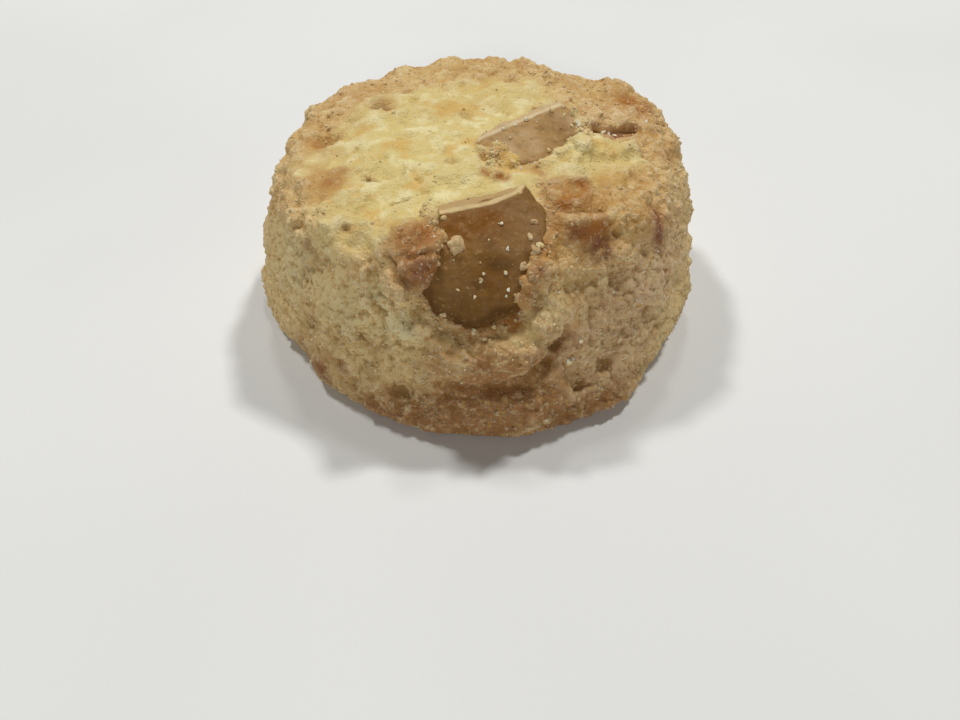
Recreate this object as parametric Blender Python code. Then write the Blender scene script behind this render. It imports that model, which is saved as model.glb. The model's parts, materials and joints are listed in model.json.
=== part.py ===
"""A thick round shortbread biscuit with two pieces of candied fruit set in its dough.

The sizes below are in millimetres and the model is built in metres. +Z is up, and the
origin lies under the middle of the biscuit, on its flat base.
"""

import math
from dataclasses import dataclass

import bmesh
import bpy
import numpy as np
from mathutils import Matrix, Vector, noise

MM = 0.001

# The round's plan, measured from its middle every 30 degrees from +X towards +Y
BASE_RADII = (26.2, 25.5, 26.6, 27.2, 27.4, 28.3, 27.4, 25.2, 25.4, 25.9, 26.1, 25.2)
RIM_RADII = (23.5, 25.0, 24.4, 24.3, 24.3, 24.2, 23.2, 23.6, 21.4, 20.6, 20.8, 22.6)
RIM_HEIGHT = 21.2
DOME_RISE = 1.0
RIM_ROUNDING = 4.6
FOOT_ROUNDING = 2.0
WALL_BULGE = 0.6

# How finely the round is meshed before its relief is pressed in, and after
SEGMENTS = 180
BASE_RINGS = 3
FOOT_RINGS = 5
WALL_RINGS = 22
SHOULDER_RINGS = 12
TOP_RINGS = 22
BODY_TRIANGLES = 10600

# The dough's own unevenness: the size of its swells, crags and crumbs, and how far each stands out
SWELL_SIZE, SWELL_HEIGHT = 8.0, 0.5
CRAG_SIZE, CRAG_HEIGHT = 3.4, 1.05
CRUMB_SIZE, CRUMB_HEIGHT = 1.9, 0.4
TOP_CRAG_SHARE = 0.45
NOISE_SEED = Vector((31.7, 12.4, 7.9))

SOCKET_GAP = 0.3
CHUNK_BEVEL = 0.55

DOUGH_COLOUR = (0.56, 0.39, 0.20, 1.0)
FRONT_CHUNK_COLOUR = (0.30, 0.165, 0.062, 1.0)
BACK_CHUNK_COLOUR = (0.44, 0.29, 0.155, 1.0)


def settled(place, points):
    """The one of the round's points that is nearest to a place, so that a feature lies on the surface."""
    return points[np.argmin(np.linalg.norm(points - np.array(place), axis=1))]


@dataclass(frozen=True)
class Lump:
    """A round swelling of the dough, or a hollow where the height is negative."""

    at: tuple
    radius: float
    height: float

    def rise(self, points):
        """How far each point is pushed out along its normal."""
        apart = np.linalg.norm(points - settled(self.at, points), axis=1)
        return self.height * np.exp(-((apart / self.radius) ** 2))


@dataclass(frozen=True)
class Fold:
    """A ridge along a line of points, or a crack where the height is negative."""

    line: tuple
    width: float
    height: float

    def rise(self, points):
        """How far each point is pushed out along its normal."""
        nearest = np.full(len(points), np.inf)
        stops = [settled(stop, points) for stop in self.line]
        for start, end in zip(stops, stops[1:]):
            along = end - start
            share = np.clip((points - start) @ along / (along @ along), 0.0, 1.0)
            apart = np.linalg.norm(points - (start + share[:, None] * along), axis=1)
            nearest = np.minimum(nearest, apart)
        return self.height * np.exp(-((nearest / self.width) ** 2))


# The lip of dough that carries the front piece of fruit, the crease under the lip, and the
# crack that runs down beside it
LIP_UNDER_CHUNK = (
    (-8.2, -20.6, 17.8),
    (-7.6, -22.0, 14.8),
    (-5.0, -23.2, 12.4),
    (-1.6, -24.2, 11.3),
    (2.0, -24.4, 11.0),
    (5.4, -23.6, 12.2),
    (7.4, -22.0, 15.2),
)
CREASE_UNDER_LIP = (
    (-3.8, -24.8, 7.6),
    (-0.6, -25.2, 7.2),
    (2.2, -25.1, 7.4),
    (5.0, -24.6, 8.4),
    (7.8, -23.4, 10.4),
    (9.4, -21.8, 13.2),
)
CRACK_LEFT_OF_CHUNK = (
    (-10.6, -18.9, 20.0),
    (-10.9, -20.2, 17.5),
    (-10.1, -21.2, 15.4),
    (-9.7, -22.3, 13.0),
    (-8.0, -23.0, 12.4),
    (-6.0, -23.6, 12.4),
)

# The dough that swells round the front piece of fruit
ROUND_THE_FRONT_CHUNK = (
    Lump((-7.0, -16.9, 21.2), 2.2, 2.3),
    Lump((-6.1, -20.4, 19.8), 1.7, 1.9),
    Lump((-9.4, -20.6, 17.6), 2.6, 0.4),
    Lump((6.0, -20.4, 20.0), 1.2, 1.3),
    Lump((6.0, -22.0, 17.4), 1.5, 0.9),
    Fold(LIP_UNDER_CHUNK, 2.0, 2.1),
    Fold(CREASE_UNDER_LIP, 0.9, -1.4),
    Fold(CRACK_LEFT_OF_CHUNK, 0.7, -0.9),
    Fold(((-9.0, -19.0, 20.4), (-7.8, -20.8, 19.2), (-6.0, -21.7, 18.4)), 0.6, -0.7),
)

# The broken dough round the back piece, with the open crevice beside it
ROUND_THE_BACK_CHUNK = (
    Lump((12.6, -2.8, 21.9), 3.0, 0.85),
    Lump((16.6, -2.2, 21.4), 2.6, 0.6),
    Lump((8.6, -6.6, 22.0), 2.0, 0.5),
    Lump((1.0, -6.6, 22.1), 1.6, -0.4),
    Lump((-2.4, -3.4, 22.2), 1.8, 0.35),
    Fold(((12.8, 2.4, 21.9), (14.8, 2.2, 21.7), (17.6, 3.1, 21.3)), 0.9, -1.6),
    Fold(((13.4, 5.4, 21.7), (16.8, 6.4, 21.3)), 1.6, 0.6),
    Fold(((-2.6, -9.0, 22.1), (3.0, -8.6, 22.0)), 1.0, -0.35),
)

# Swellings and hollows of the top and its rim
ON_THE_TOP = (
    Lump((9.0, -11.2, 21.7), 2.6, 0.55),
    Lump((9.2, -14.6, 21.4), 2.0, 0.6),
    Lump((13.6, -11.4, 21.4), 3.0, 0.4),
    Lump((-13.4, -15.2, 20.8), 0.9, -0.6),
    Lump((-17.5, 0.7, 21.4), 1.9, -0.8),
    Lump((-11.5, 7.8, 21.7), 1.6, -0.8),
    Lump((-16.0, 9.6, 21.0), 2.4, 0.3),
    Lump((-19.6, -6.0, 20.8), 2.6, 0.2),
    Lump((-8.5, 19.5, 20.8), 3.0, -0.45),
    Lump((-2.4, 20.8, 20.9), 2.2, 0.4),
    Lump((2.0, 20.8, 20.8), 2.0, 0.4),
    Lump((11.0, 19.4, 20.6), 1.8, -1.0),
    Lump((17.0, 14.6, 20.8), 2.4, 0.7),
    Lump((21.2, 10.8, 19.6), 4.0, 0.5),
    Lump((24.6, 2.6, 17.2), 1.8, 0.3),
    Fold(((-14.0, -8.0, 21.6), (-5.0, -3.6, 22.1)), 0.9, -0.25),
    Fold(((-12.0, 1.0, 21.8), (-3.0, 5.2, 22.1)), 1.0, -0.25),
    Fold(((-6.0, 10.6, 21.7), (4.0, 13.4, 21.6)), 1.1, -0.3),
)

# Swellings and hollows of the wall, seen and unseen
ON_THE_WALL = (
    Lump((-12.3, -21.4, 11.6), 1.3, -0.9),
    Lump((-16.4, -18.2, 12.0), 3.2, 0.6),
    Lump((-18.6, -13.0, 17.6), 2.6, 0.4),
    Lump((-22.0, -14.4, 1.2), 2.6, -0.8),
    Lump((-22.6, -9.6, 9.0), 2.4, -0.5),
    Lump((10.8, -23.2, 6.5), 1.1, -0.9),
    Lump((13.4, -21.6, 7.7), 1.2, -0.9),
    Lump((12.0, -20.6, 14.0), 3.0, 0.5),
    Lump((18.1, -16.7, 11.3), 1.2, -0.7),
    Lump((18.4, -15.6, 14.6), 2.8, 0.5),
    Lump((2.0, -26.2, 5.0), 4.0, 0.4),
    Lump((-24.0, 8.0, 9.0), 3.4, -0.5),
    Lump((-18.0, 19.0, 12.0), 3.6, 0.6),
    Lump((-6.0, 25.5, 7.0), 2.8, -0.7),
    Lump((7.0, 24.6, 14.0), 3.2, 0.6),
    Lump((19.0, 17.0, 6.0), 2.6, -0.7),
    Lump((25.0, -2.0, 8.0), 3.0, -0.4),
    Fold(((-12.0, 22.6, 17.0), (-8.0, 24.2, 13.6), (-3.0, 25.4, 14.6)), 0.9, -0.9),
    Fold(((22.0, 10.0, 15.0), (23.4, 8.0, 10.0)), 0.9, -0.8),
)

RELIEF = ROUND_THE_FRONT_CHUNK + ROUND_THE_BACK_CHUNK + ON_THE_TOP + ON_THE_WALL

# The corners of the front piece: its cut top edge, its face, its right side, then its buried end
FRONT_CHUNK_CORNERS = (
    (-5.2, -13.6, 22.3),
    (4.4, -10.6, 23.2),
    (-4.9, -14.9, 22.2),
    (0.9, -13.8, 22.8),
    (3.9, -12.2, 23.1),
    (6.7, -13.9, 22.1),
    (6.4, -17.8, 20.9),
    (-4.5, -18.8, 20.5),
    (-0.9, -19.2, 20.6),
    (2.2, -19.3, 20.8),
    (2.4, -22.0, 17.4),
    (4.6, -21.3, 17.8),
    (3.8, -21.6, 15.4),
    (0.9, -22.3, 14.3),
    (-1.2, -22.4, 13.9),
    (-4.4, -21.9, 15.2),
    (-5.6, -21.2, 18.0),
    (-5.2, -14.2, 14.6),
    (5.6, -12.4, 15.6),
    (3.4, -17.2, 13.0),
    (-3.8, -17.6, 12.6),
)

# The corners of the back piece: its cut top edge, its sloping face, then its buried end
BACK_CHUNK_CORNERS = (
    (-0.5, -0.7, 22.6),
    (2.2, 0.7, 23.3),
    (8.8, 6.0, 23.5),
    (-0.5, -1.8, 22.6),
    (9.6, 5.0, 23.4),
    (11.2, 4.2, 23.0),
    (12.4, 1.4, 22.3),
    (10.8, -1.8, 21.9),
    (7.0, -4.7, 21.8),
    (3.6, -5.7, 21.7),
    (0.2, -4.4, 21.9),
    (1.4, -1.6, 17.0),
    (8.6, 4.0, 17.2),
    (10.0, 0.8, 17.0),
    (4.0, -4.0, 16.8),
)


def clear_scene():
    """Removes whatever the scene starts with."""
    for obj in list(bpy.data.objects):
        bpy.data.objects.remove(obj)


def radius_at(radii, angle):
    """The plan's radius at an angle, smooth through the radii that are given every 30 degrees."""
    step = 2 * math.pi / len(radii)
    place = (angle % (2 * math.pi)) / step
    first = int(place)
    share = place - first
    before, start, end, after = (radii[(first + k) % len(radii)] for k in (-1, 0, 1, 2))
    slope_in = (end - before) / 2
    slope_out = (after - start) / 2
    square, cube = share**2, share**3
    return (
        (2 * cube - 3 * square + 1) * start
        + (cube - 2 * square + share) * slope_in
        + (3 * square - 2 * cube) * end
        + (cube - square) * slope_out
    )


def profile_at(angle):
    """The round's outline in a plane through its axis, from the base's middle to the top's middle."""
    foot = radius_at(BASE_RADII, angle)
    rim = radius_at(RIM_RADII, angle)
    outline = [((foot - FOOT_ROUNDING) * (k + 1) / BASE_RINGS, 0.0) for k in range(BASE_RINGS)]
    for k in range(1, FOOT_RINGS + 1):
        turn = math.radians(90 * k / FOOT_RINGS)
        outline.append(
            (foot - FOOT_ROUNDING * (1 - math.sin(turn)), FOOT_ROUNDING * (1 - math.cos(turn)))
        )
    shoulder = RIM_HEIGHT - RIM_ROUNDING
    for k in range(1, WALL_RINGS + 1):
        share = k / WALL_RINGS
        radius = foot + (rim - foot) * share + WALL_BULGE * 4 * share * (1 - share)
        outline.append((radius, FOOT_ROUNDING + (shoulder - FOOT_ROUNDING) * share))
    for k in range(1, SHOULDER_RINGS + 1):
        turn = math.radians(90 * k / SHOULDER_RINGS)
        outline.append(
            (rim - RIM_ROUNDING * (1 - math.cos(turn)), shoulder + RIM_ROUNDING * math.sin(turn))
        )
    for k in range(1, TOP_RINGS):
        share = 1 - k / TOP_RINGS
        outline.append(((rim - RIM_ROUNDING) * share, RIM_HEIGHT + DOME_RISE * (1 - share**2)))
    return outline


def plain_round():
    """The biscuit's body before any relief, as a mesh in millimetres."""
    columns = [profile_at(2 * math.pi * k / SEGMENTS) for k in range(SEGMENTS)]
    rings = len(columns[0])
    mesh = bmesh.new()
    grid = []
    for k, column in enumerate(columns):
        angle = 2 * math.pi * k / SEGMENTS
        across = Vector((math.cos(angle), math.sin(angle), 0.0))
        grid.append([mesh.verts.new(across * radius + Vector((0, 0, z))) for radius, z in column])
    under = mesh.verts.new((0, 0, 0))
    above = mesh.verts.new((0, 0, RIM_HEIGHT + DOME_RISE))
    for k in range(SEGMENTS):
        here, beside = grid[k], grid[(k + 1) % SEGMENTS]
        mesh.faces.new((under, beside[0], here[0]))
        mesh.faces.new((above, here[-1], beside[-1]))
        for ring in range(rings - 1):
            mesh.faces.new((here[ring], beside[ring], beside[ring + 1], here[ring + 1]))
    mesh.normal_update()
    return mesh


def unevenness(point, top_share):
    """The dough's own rise at a point: broad swells, then crags and crumbs that are weaker on the top."""
    swell = noise.noise(point / SWELL_SIZE + NOISE_SEED)
    crag = noise.noise(point / CRAG_SIZE + 2 * NOISE_SEED)
    crumb = noise.noise(point / CRUMB_SIZE + 3 * NOISE_SEED)
    rough = 1 - (1 - TOP_CRAG_SHARE) * top_share
    return swell * SWELL_HEIGHT + rough * (crag * CRAG_HEIGHT + crumb * CRUMB_HEIGHT)


def press_relief(mesh):
    """Pushes the round's surface out and in, and keeps its base flat."""
    points = np.array([vert.co for vert in mesh.verts])
    rise = sum(feature.rise(points) for feature in RELIEF)
    for vert, pushed in zip(list(mesh.verts), rise):
        top_share = max(0.0, vert.normal.z)
        lift = min(1.0, vert.co.z / FOOT_ROUNDING)
        vert.co += vert.normal * (pushed + unevenness(vert.co, top_share)) * lift
        vert.co.z = max(vert.co.z, 0.0)


def add_object(name, mesh, colour):
    """Makes an object in metres from a mesh in millimetres, with its own material."""
    bmesh.ops.transform(mesh, matrix=Matrix.Scale(MM, 4), verts=mesh.verts)
    data = bpy.data.meshes.new(name)
    mesh.to_mesh(data)
    mesh.free()
    obj = bpy.data.objects.new(name, data)
    bpy.context.scene.collection.objects.link(obj)
    material = bpy.data.materials.new(name)
    material.use_nodes = True
    shader = material.node_tree.nodes["Principled BSDF"]
    shader.inputs["Base Color"].default_value = colour
    shader.inputs["Roughness"].default_value = 0.7
    data.materials.append(material)
    return obj


def apply_modifier(obj, modifier):
    """Applies one modifier of an object."""
    bpy.context.view_layer.objects.active = obj
    bpy.ops.object.modifier_apply(modifier=modifier.name)


def chunk(name, corners, colour, grown=0.0):
    """A diced piece of fruit: the hull of its corners, grown on every side where it is to cut its socket."""
    mesh = bmesh.new()
    for corner in corners:
        mesh.verts.new(corner)
    hull = bmesh.ops.convex_hull(mesh, input=mesh.verts)
    bmesh.ops.delete(mesh, geom=hull["geom_interior"] + hull["geom_unused"], context="VERTS")
    bmesh.ops.recalc_face_normals(mesh, faces=mesh.faces)
    if grown:
        mesh.normal_update()
        for vert in mesh.verts:
            vert.co += vert.normal * grown * vert.calc_shell_factor()
    obj = add_object(name, mesh, colour)
    bevel = obj.modifiers.new("rounded_edges", "BEVEL")
    bevel.width = CHUNK_BEVEL * MM
    bevel.segments = 2
    bevel.limit_method = "ANGLE"
    bevel.angle_limit = math.radians(14)
    apply_modifier(obj, bevel)
    return obj


def cut_socket(body, corners):
    """Cuts the room that a piece of fruit takes out of the body."""
    cutter = chunk("socket_cutter", corners, DOUGH_COLOUR, grown=SOCKET_GAP)
    cut = body.modifiers.new("socket", "BOOLEAN")
    cut.operation = "DIFFERENCE"
    cut.solver = "EXACT"
    cut.object = cutter
    apply_modifier(body, cut)
    bpy.data.objects.remove(cutter)


def simplify(body):
    """Thins the body's mesh to the triangles that its relief needs."""
    thin = body.modifiers.new("thin", "DECIMATE")
    faces = sum(len(polygon.vertices) - 2 for polygon in body.data.polygons)
    thin.ratio = BODY_TRIANGLES / faces
    thin.use_collapse_triangulate = True
    apply_modifier(body, thin)
    for vert in body.data.vertices:
        if vert.co.z < 0.02 * MM:
            vert.co.z = 0.0


def stand_on_origin(objects):
    """Moves the whole biscuit so that the origin is under the middle of its box."""
    points = np.array([vert.co for obj in objects for vert in obj.data.vertices])
    low, high = points.min(axis=0), points.max(axis=0)
    shift = Vector((-(low[0] + high[0]) / 2, -(low[1] + high[1]) / 2, -low[2]))
    for obj in objects:
        obj.data.transform(Matrix.Translation(shift))


def build():
    """Builds the biscuit's dough and its two pieces of candied fruit."""
    clear_scene()
    dough = plain_round()
    press_relief(dough)
    body = add_object("shortbread", dough, DOUGH_COLOUR)
    simplify(body)
    cut_socket(body, FRONT_CHUNK_CORNERS)
    cut_socket(body, BACK_CHUNK_CORNERS)
    front = chunk("candied_chunk_front", FRONT_CHUNK_CORNERS, FRONT_CHUNK_COLOUR)
    back = chunk("candied_chunk_back", BACK_CHUNK_CORNERS, BACK_CHUNK_COLOUR)
    stand_on_origin([body, front, back])


build()
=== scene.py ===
"""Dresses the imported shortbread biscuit: crumbly dough, candied fruit, sugar and loose crumbs."""

import json
import logging
import math
from dataclasses import dataclass, field
from enum import Enum

import bpy
import numpy as np
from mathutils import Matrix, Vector, noise
from mathutils.bvhtree import BVHTree

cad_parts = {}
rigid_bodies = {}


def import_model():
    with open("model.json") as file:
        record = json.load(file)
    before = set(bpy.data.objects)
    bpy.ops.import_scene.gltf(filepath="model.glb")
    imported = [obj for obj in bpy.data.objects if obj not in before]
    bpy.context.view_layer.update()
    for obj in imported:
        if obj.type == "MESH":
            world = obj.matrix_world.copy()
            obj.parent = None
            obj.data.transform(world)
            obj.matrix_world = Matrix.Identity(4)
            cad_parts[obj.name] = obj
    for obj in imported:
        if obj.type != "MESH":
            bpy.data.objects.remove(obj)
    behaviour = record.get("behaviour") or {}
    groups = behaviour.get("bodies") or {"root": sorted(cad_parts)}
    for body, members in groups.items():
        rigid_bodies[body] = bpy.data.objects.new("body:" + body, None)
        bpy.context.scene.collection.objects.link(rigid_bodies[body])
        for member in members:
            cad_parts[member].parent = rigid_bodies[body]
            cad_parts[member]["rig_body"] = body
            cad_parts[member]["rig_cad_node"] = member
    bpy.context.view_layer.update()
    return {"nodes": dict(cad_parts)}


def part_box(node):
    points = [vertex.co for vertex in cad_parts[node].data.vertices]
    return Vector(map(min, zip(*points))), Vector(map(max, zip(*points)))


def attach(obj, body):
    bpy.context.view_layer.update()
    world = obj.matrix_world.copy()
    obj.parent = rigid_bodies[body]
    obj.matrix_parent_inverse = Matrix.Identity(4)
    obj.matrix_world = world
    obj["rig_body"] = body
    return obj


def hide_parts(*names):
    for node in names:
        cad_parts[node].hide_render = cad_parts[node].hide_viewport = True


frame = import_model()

LOG = logging.getLogger("biscuit")
MM = 0.001

# All places below are in millimetres from the round's own axis. The front fruit's middle is known
# from there, and its box shows where that axis stands in the frame.
FRONT_FRUIT_MIDDLE = np.array((0.55, -16.5))
FRONT_FRUIT_BOX = np.array(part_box("candied_chunk_front")) / MM
ROUND_MIDDLE = np.append(FRONT_FRUIT_BOX.mean(axis=0)[:2] - FRONT_FRUIT_MIDDLE, 0.0)
# Where the photograph was taken from, and how far a place may slide along the line of sight
VIEWPOINT = np.array((0.0, -77.5, 67.1))
LONGEST_SLIDE = 5.0
# How far apart the points of a line may settle
LINE_STEP = 0.5
# The way that the top's flakes were drawn out when the dough was pressed, seen from above
STREAK_ANGLE = math.radians(29)
# What the dough's mesh tells its material, and what a crumb takes over from the dough under it
DOUGH_MARKS = ("yellow", "golden", "caramel", "scorched", "tanned", "pale", "rosy")
# How far a loose crumb is painted as pale as the dough's crests, a painted highlight
CRUMB_HIGHLIGHT = 1.0
# The middle of Blender's hard turbulence, so that clots rise and sink alike
CLOT_MIDDLE = 0.4


class Pattern(Enum):
    """The natural patterns that the dough's relief and colour are made of."""

    SWELL = "soft round swells"
    CLOT = "clots with sharp creases between them"
    GRAIN = "rounded grains lying side by side"
    CREASE = "thin cracks between clumps"


@dataclass(frozen=True)
class Ground:
    """The surfaces that places are settled on.

    Args:
        trees: the surfaces' search trees, in metres.
    """

    trees: tuple[BVHTree, ...]

    def meet(self, place: tuple[float, float, float]) -> tuple[np.ndarray, np.ndarray]:
        """Slides a place along the photograph's line of sight to the surface.

        A place too far from where that line meets it goes to the surface's nearest point.

        Args:
            place: the place, in millimetres from the round's own axis.

        Returns:
            The point on the surface and the surface's normal there.
        """
        eye, target = (Vector((np.array(p) + ROUND_MIDDLE) * MM) for p in (VIEWPOINT, place))
        hits = [tree.ray_cast(eye, (target - eye).normalized()) for tree in self.trees]
        near = [hit for hit in hits if hit[0] and (hit[0] - target).length < LONGEST_SLIDE * MM]
        nearest = near or [tree.find_nearest(target) for tree in self.trees]
        found = min(nearest, key=lambda hit: hit[3])
        return np.array(found[0]) / MM - ROUND_MIDDLE, np.array(found[1])

    def touch(self, place: tuple[float, float, float]) -> np.ndarray:
        """Gives the point of the surface where a place settles."""
        return self.meet(place)[0]

    def lay(self, stops: tuple[tuple[float, float, float], ...]) -> list[np.ndarray]:
        """Lays a line of places on the surface.

        Args:
            stops: the places it runs through.

        Returns:
            The settled points.
        """
        laid = [self.touch(stops[0])]
        for start, end in zip(stops, stops[1:]):
            parts = max(1, round(math.dist(start, end) / LINE_STEP))
            for k in range(1, parts + 1):
                between = np.array(start) + (np.array(end) - np.array(start)) * k / parts
                laid.append(self.touch(tuple(between)))
        return laid


@dataclass(frozen=True)
class Spot:
    """A soft round place on the biscuit, in millimetres from the round's own axis.

    Args:
        at: the place's middle.
        radius: how far it reaches.
        strength: what it adds there.
    """

    at: tuple[float, float, float]
    radius: float
    strength: float

    def weigh(self, points: np.ndarray, ground: Ground) -> np.ndarray:
        """Gives the spot's share at each point.

        Args:
            points: positions in millimetres, one a row.
            ground: the surface that the spot lies on.

        Returns:
            The strength at each point.
        """
        apart = np.linalg.norm(points - ground.touch(self.at), axis=1)
        return self.strength * np.exp(-((apart / self.radius) ** 2))


@dataclass(frozen=True)
class Line:
    """A soft line on the biscuit, in millimetres from the round's own axis.

    Args:
        stops: the points it runs through.
        width: how far it reaches to each side.
        strength: what it adds there.
    """

    stops: tuple[tuple[float, float, float], ...]
    width: float
    strength: float

    def weigh(self, points: np.ndarray, ground: Ground) -> np.ndarray:
        """Gives the line's share at each point.

        Args:
            points: positions in millimetres, one a row.
            ground: the surface that the line lies on.

        Returns:
            The strength at each point.
        """
        nearest = np.full(len(points), np.inf)
        stops = ground.lay(self.stops)
        for start, end in zip(stops, stops[1:]):
            along = end - start
            share = np.clip((points - start) @ along / (along @ along), 0.0, 1.0)
            apart = np.linalg.norm(points - (start + share[:, None] * along), axis=1)
            nearest = np.minimum(nearest, apart)
        return self.strength * np.exp(-((nearest / self.width) ** 2))


@dataclass(frozen=True)
class Edge:
    """A straight edge of a cut face, seen from above, with the face on its left.

    Args:
        start: where the edge starts, in millimetres from the round's own axis.
        end: where it ends.
    """

    start: tuple[float, float]
    end: tuple[float, float]

    def inside(self, points: np.ndarray) -> np.ndarray:
        """Gives how far each point lies inside the edge, in millimetres.

        Args:
            points: positions in millimetres, one a row.

        Returns:
            One distance for each point, negative outside.
        """
        along = np.subtract(self.end, self.start)
        offset = points[:, :2] - np.array(self.start)
        return (along[0] * offset[:, 1] - along[1] * offset[:, 0]) / np.linalg.norm(along)


@dataclass(frozen=True)
class Grain:
    """One grain or clump that the eye picks out.

    Args:
        at: its place, in millimetres from the round's own axis.
        size: how large it is, in millimetres.
    """

    at: tuple[float, float, float]
    size: float


def lumpy_ball(seed: float, subdivisions: int) -> tuple[np.ndarray, np.ndarray]:
    """Models one uneven crumb, about one unit across.

    Args:
        seed: shifts its bumps, so that no two are alike.
        subdivisions: how finely it is made.

    Returns:
        Its vertices and its triangles.
    """
    deselect_all()
    bpy.ops.mesh.primitive_ico_sphere_add(subdivisions=subdivisions, radius=0.5)
    ball = bpy.context.object
    vertices = np.array([vertex.co for vertex in ball.data.vertices])
    triangles = np.array([face.vertices for face in ball.data.polygons])
    bpy.data.objects.remove(ball)
    lumpy = 1 + 0.75 * sample(vertices, 0.55, seed, Pattern.SWELL)
    lumpy = lumpy + 0.3 * sample(vertices, 0.2, seed, Pattern.SWELL)
    return vertices * lumpy[:, None], triangles


def mesh_of(name: str, parts: list[tuple[np.ndarray, np.ndarray]]) -> bpy.types.Object:
    """Joins many small shapes to one piece.

    Args:
        name: the piece's name.
        parts: each shape's vertices, in millimetres from the round's own axis, and its triangles.

    Returns:
        The piece.
    """
    starts = np.cumsum([0] + [len(vertices) for vertices, _ in parts])
    points = (np.concatenate([vertices for vertices, _ in parts]) + ROUND_MIDDLE) * MM
    points[:, 2] = np.maximum(points[:, 2], 0.0)
    triangles = np.concatenate([faces + start for (_, faces), start in zip(parts, starts)])
    data = bpy.data.meshes.new(name)
    data.from_pydata(points.tolist(), [], triangles.tolist())
    piece = bpy.data.objects.new(name, data)
    bpy.context.scene.collection.objects.link(piece)
    return piece


def linear(hex_colour: str) -> tuple[float, float, float, float]:
    """Turns an sRGB hex colour to Blender's linear colour.

    Args:
        hex_colour: six hex digits after a hash sign.

    Returns:
        Red, green, blue and alpha.
    """
    parts = [int(hex_colour[k : k + 2], 16) / 255 for k in (1, 3, 5)]
    return (*[c / 12.92 if c <= 0.04045 else ((c + 0.055) / 1.055) ** 2.4 for c in parts], 1.0)


def smooth_step(values: np.ndarray, low: float, high: float) -> np.ndarray:
    """Rises softly from 0 at low to 1 at high.

    Args:
        values: the numbers to judge.
        low: where the rise starts.
        high: where it ends.

    Returns:
        One share for each value.
    """
    share = np.clip((values - low) / (high - low), 0.0, 1.0)
    return share * share * (3 - 2 * share)


def sample(points: np.ndarray, size: float, seed: float, pattern: Pattern) -> np.ndarray:
    """Reads a natural pattern at each point.

    Args:
        points: positions in millimetres, one a row.
        size: the pattern's own size in millimetres.
        seed: shifts the pattern, so that no two are alike.
        pattern: which pattern.

    Returns:
        Swells from about -1 to 1, and the other patterns from 0 to about 1.
    """
    shifted = points / size + np.array((seed, seed * 1.7, seed * 0.6))
    places = [Vector(row) for row in shifted]
    if pattern is Pattern.SWELL:
        return np.array([noise.noise(place) for place in places])
    if pattern is Pattern.CLOT:
        return np.array([noise.turbulence(place, 3, True) for place in places])
    near = np.array([noise.voronoi(place)[0][:2] for place in places])
    if pattern is Pattern.GRAIN:
        return np.clip(1 - (near[:, 0] / 0.75) ** 2, 0.0, 1.0)
    return np.exp(-(((near[:, 1] - near[:, 0]) / 0.12) ** 2))


def bent(points: np.ndarray, size: float, reach: float, seed: float) -> np.ndarray:
    """Shifts each point by soft noise, so that a pattern read there loses its regular look.

    Args:
        points: positions in millimetres, one a row.
        size: the noise's own size in millimetres.
        reach: how far a point may shift.
        seed: shifts the noise.

    Returns:
        The shifted positions.
    """
    shifts = [sample(points, size, seed + 3.1 * axis, Pattern.SWELL) for axis in range(3)]
    return points + reach * np.stack(shifts, axis=1)


def total(features: tuple[Spot | Line, ...], points: np.ndarray, ground: Ground) -> np.ndarray:
    """Adds up what spots and lines give at each point.

    Args:
        features: the spots and lines.
        points: positions in millimetres, one a row.
        ground: the surface that they lie on.

    Returns:
        The sum at each point.
    """
    return sum(feature.weigh(points, ground) for feature in features)


def feed(tree: bpy.types.NodeTree, node: bpy.types.Node, inputs: dict[str | int, object]) -> None:
    """Sets a node's inputs, each to a value or to the socket that feeds it."""
    for name, value in inputs.items():
        if isinstance(value, bpy.types.NodeSocket):
            tree.links.new(value, node.inputs[name])
        else:
            node.inputs[name].default_value = value


def add_node(
    tree: bpy.types.NodeTree,
    kind: str,
    settings: dict[str, object] | None = None,
    inputs: dict[str | int, object] | None = None,
) -> bpy.types.Node:
    """Adds one node with its settings, values and links.

    Args:
        tree: the node tree.
        kind: the node's Blender type.
        settings: the node's own properties.
        inputs: for each input, a value or the socket that feeds it.

    Returns:
        The new node.
    """
    node = tree.nodes.new(kind)
    for name, value in (settings or {}).items():
        setattr(node, name, value)
    feed(tree, node, inputs or {})
    return node


@dataclass(frozen=True)
class Speckle:
    """Uneven specks in a material.

    Args:
        size: how large they are, in millimetres.
        low: the noise value up to which none shows.
        high: the noise value from which they show in full.
        detail: how many finer layers the noise has.
        roughness: how strong each finer layer is.
        upright: how fast the noise changes along z, where less than 1 draws the specks out.
    """

    size: float
    low: float
    high: float
    detail: float = 2.0
    roughness: float = 0.55
    upright: float = 1.0


# What a share may be made of: the name of a mark on the mesh, specks, a node's output or a number
Part = str | Speckle | bpy.types.NodeSocket | float


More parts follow.
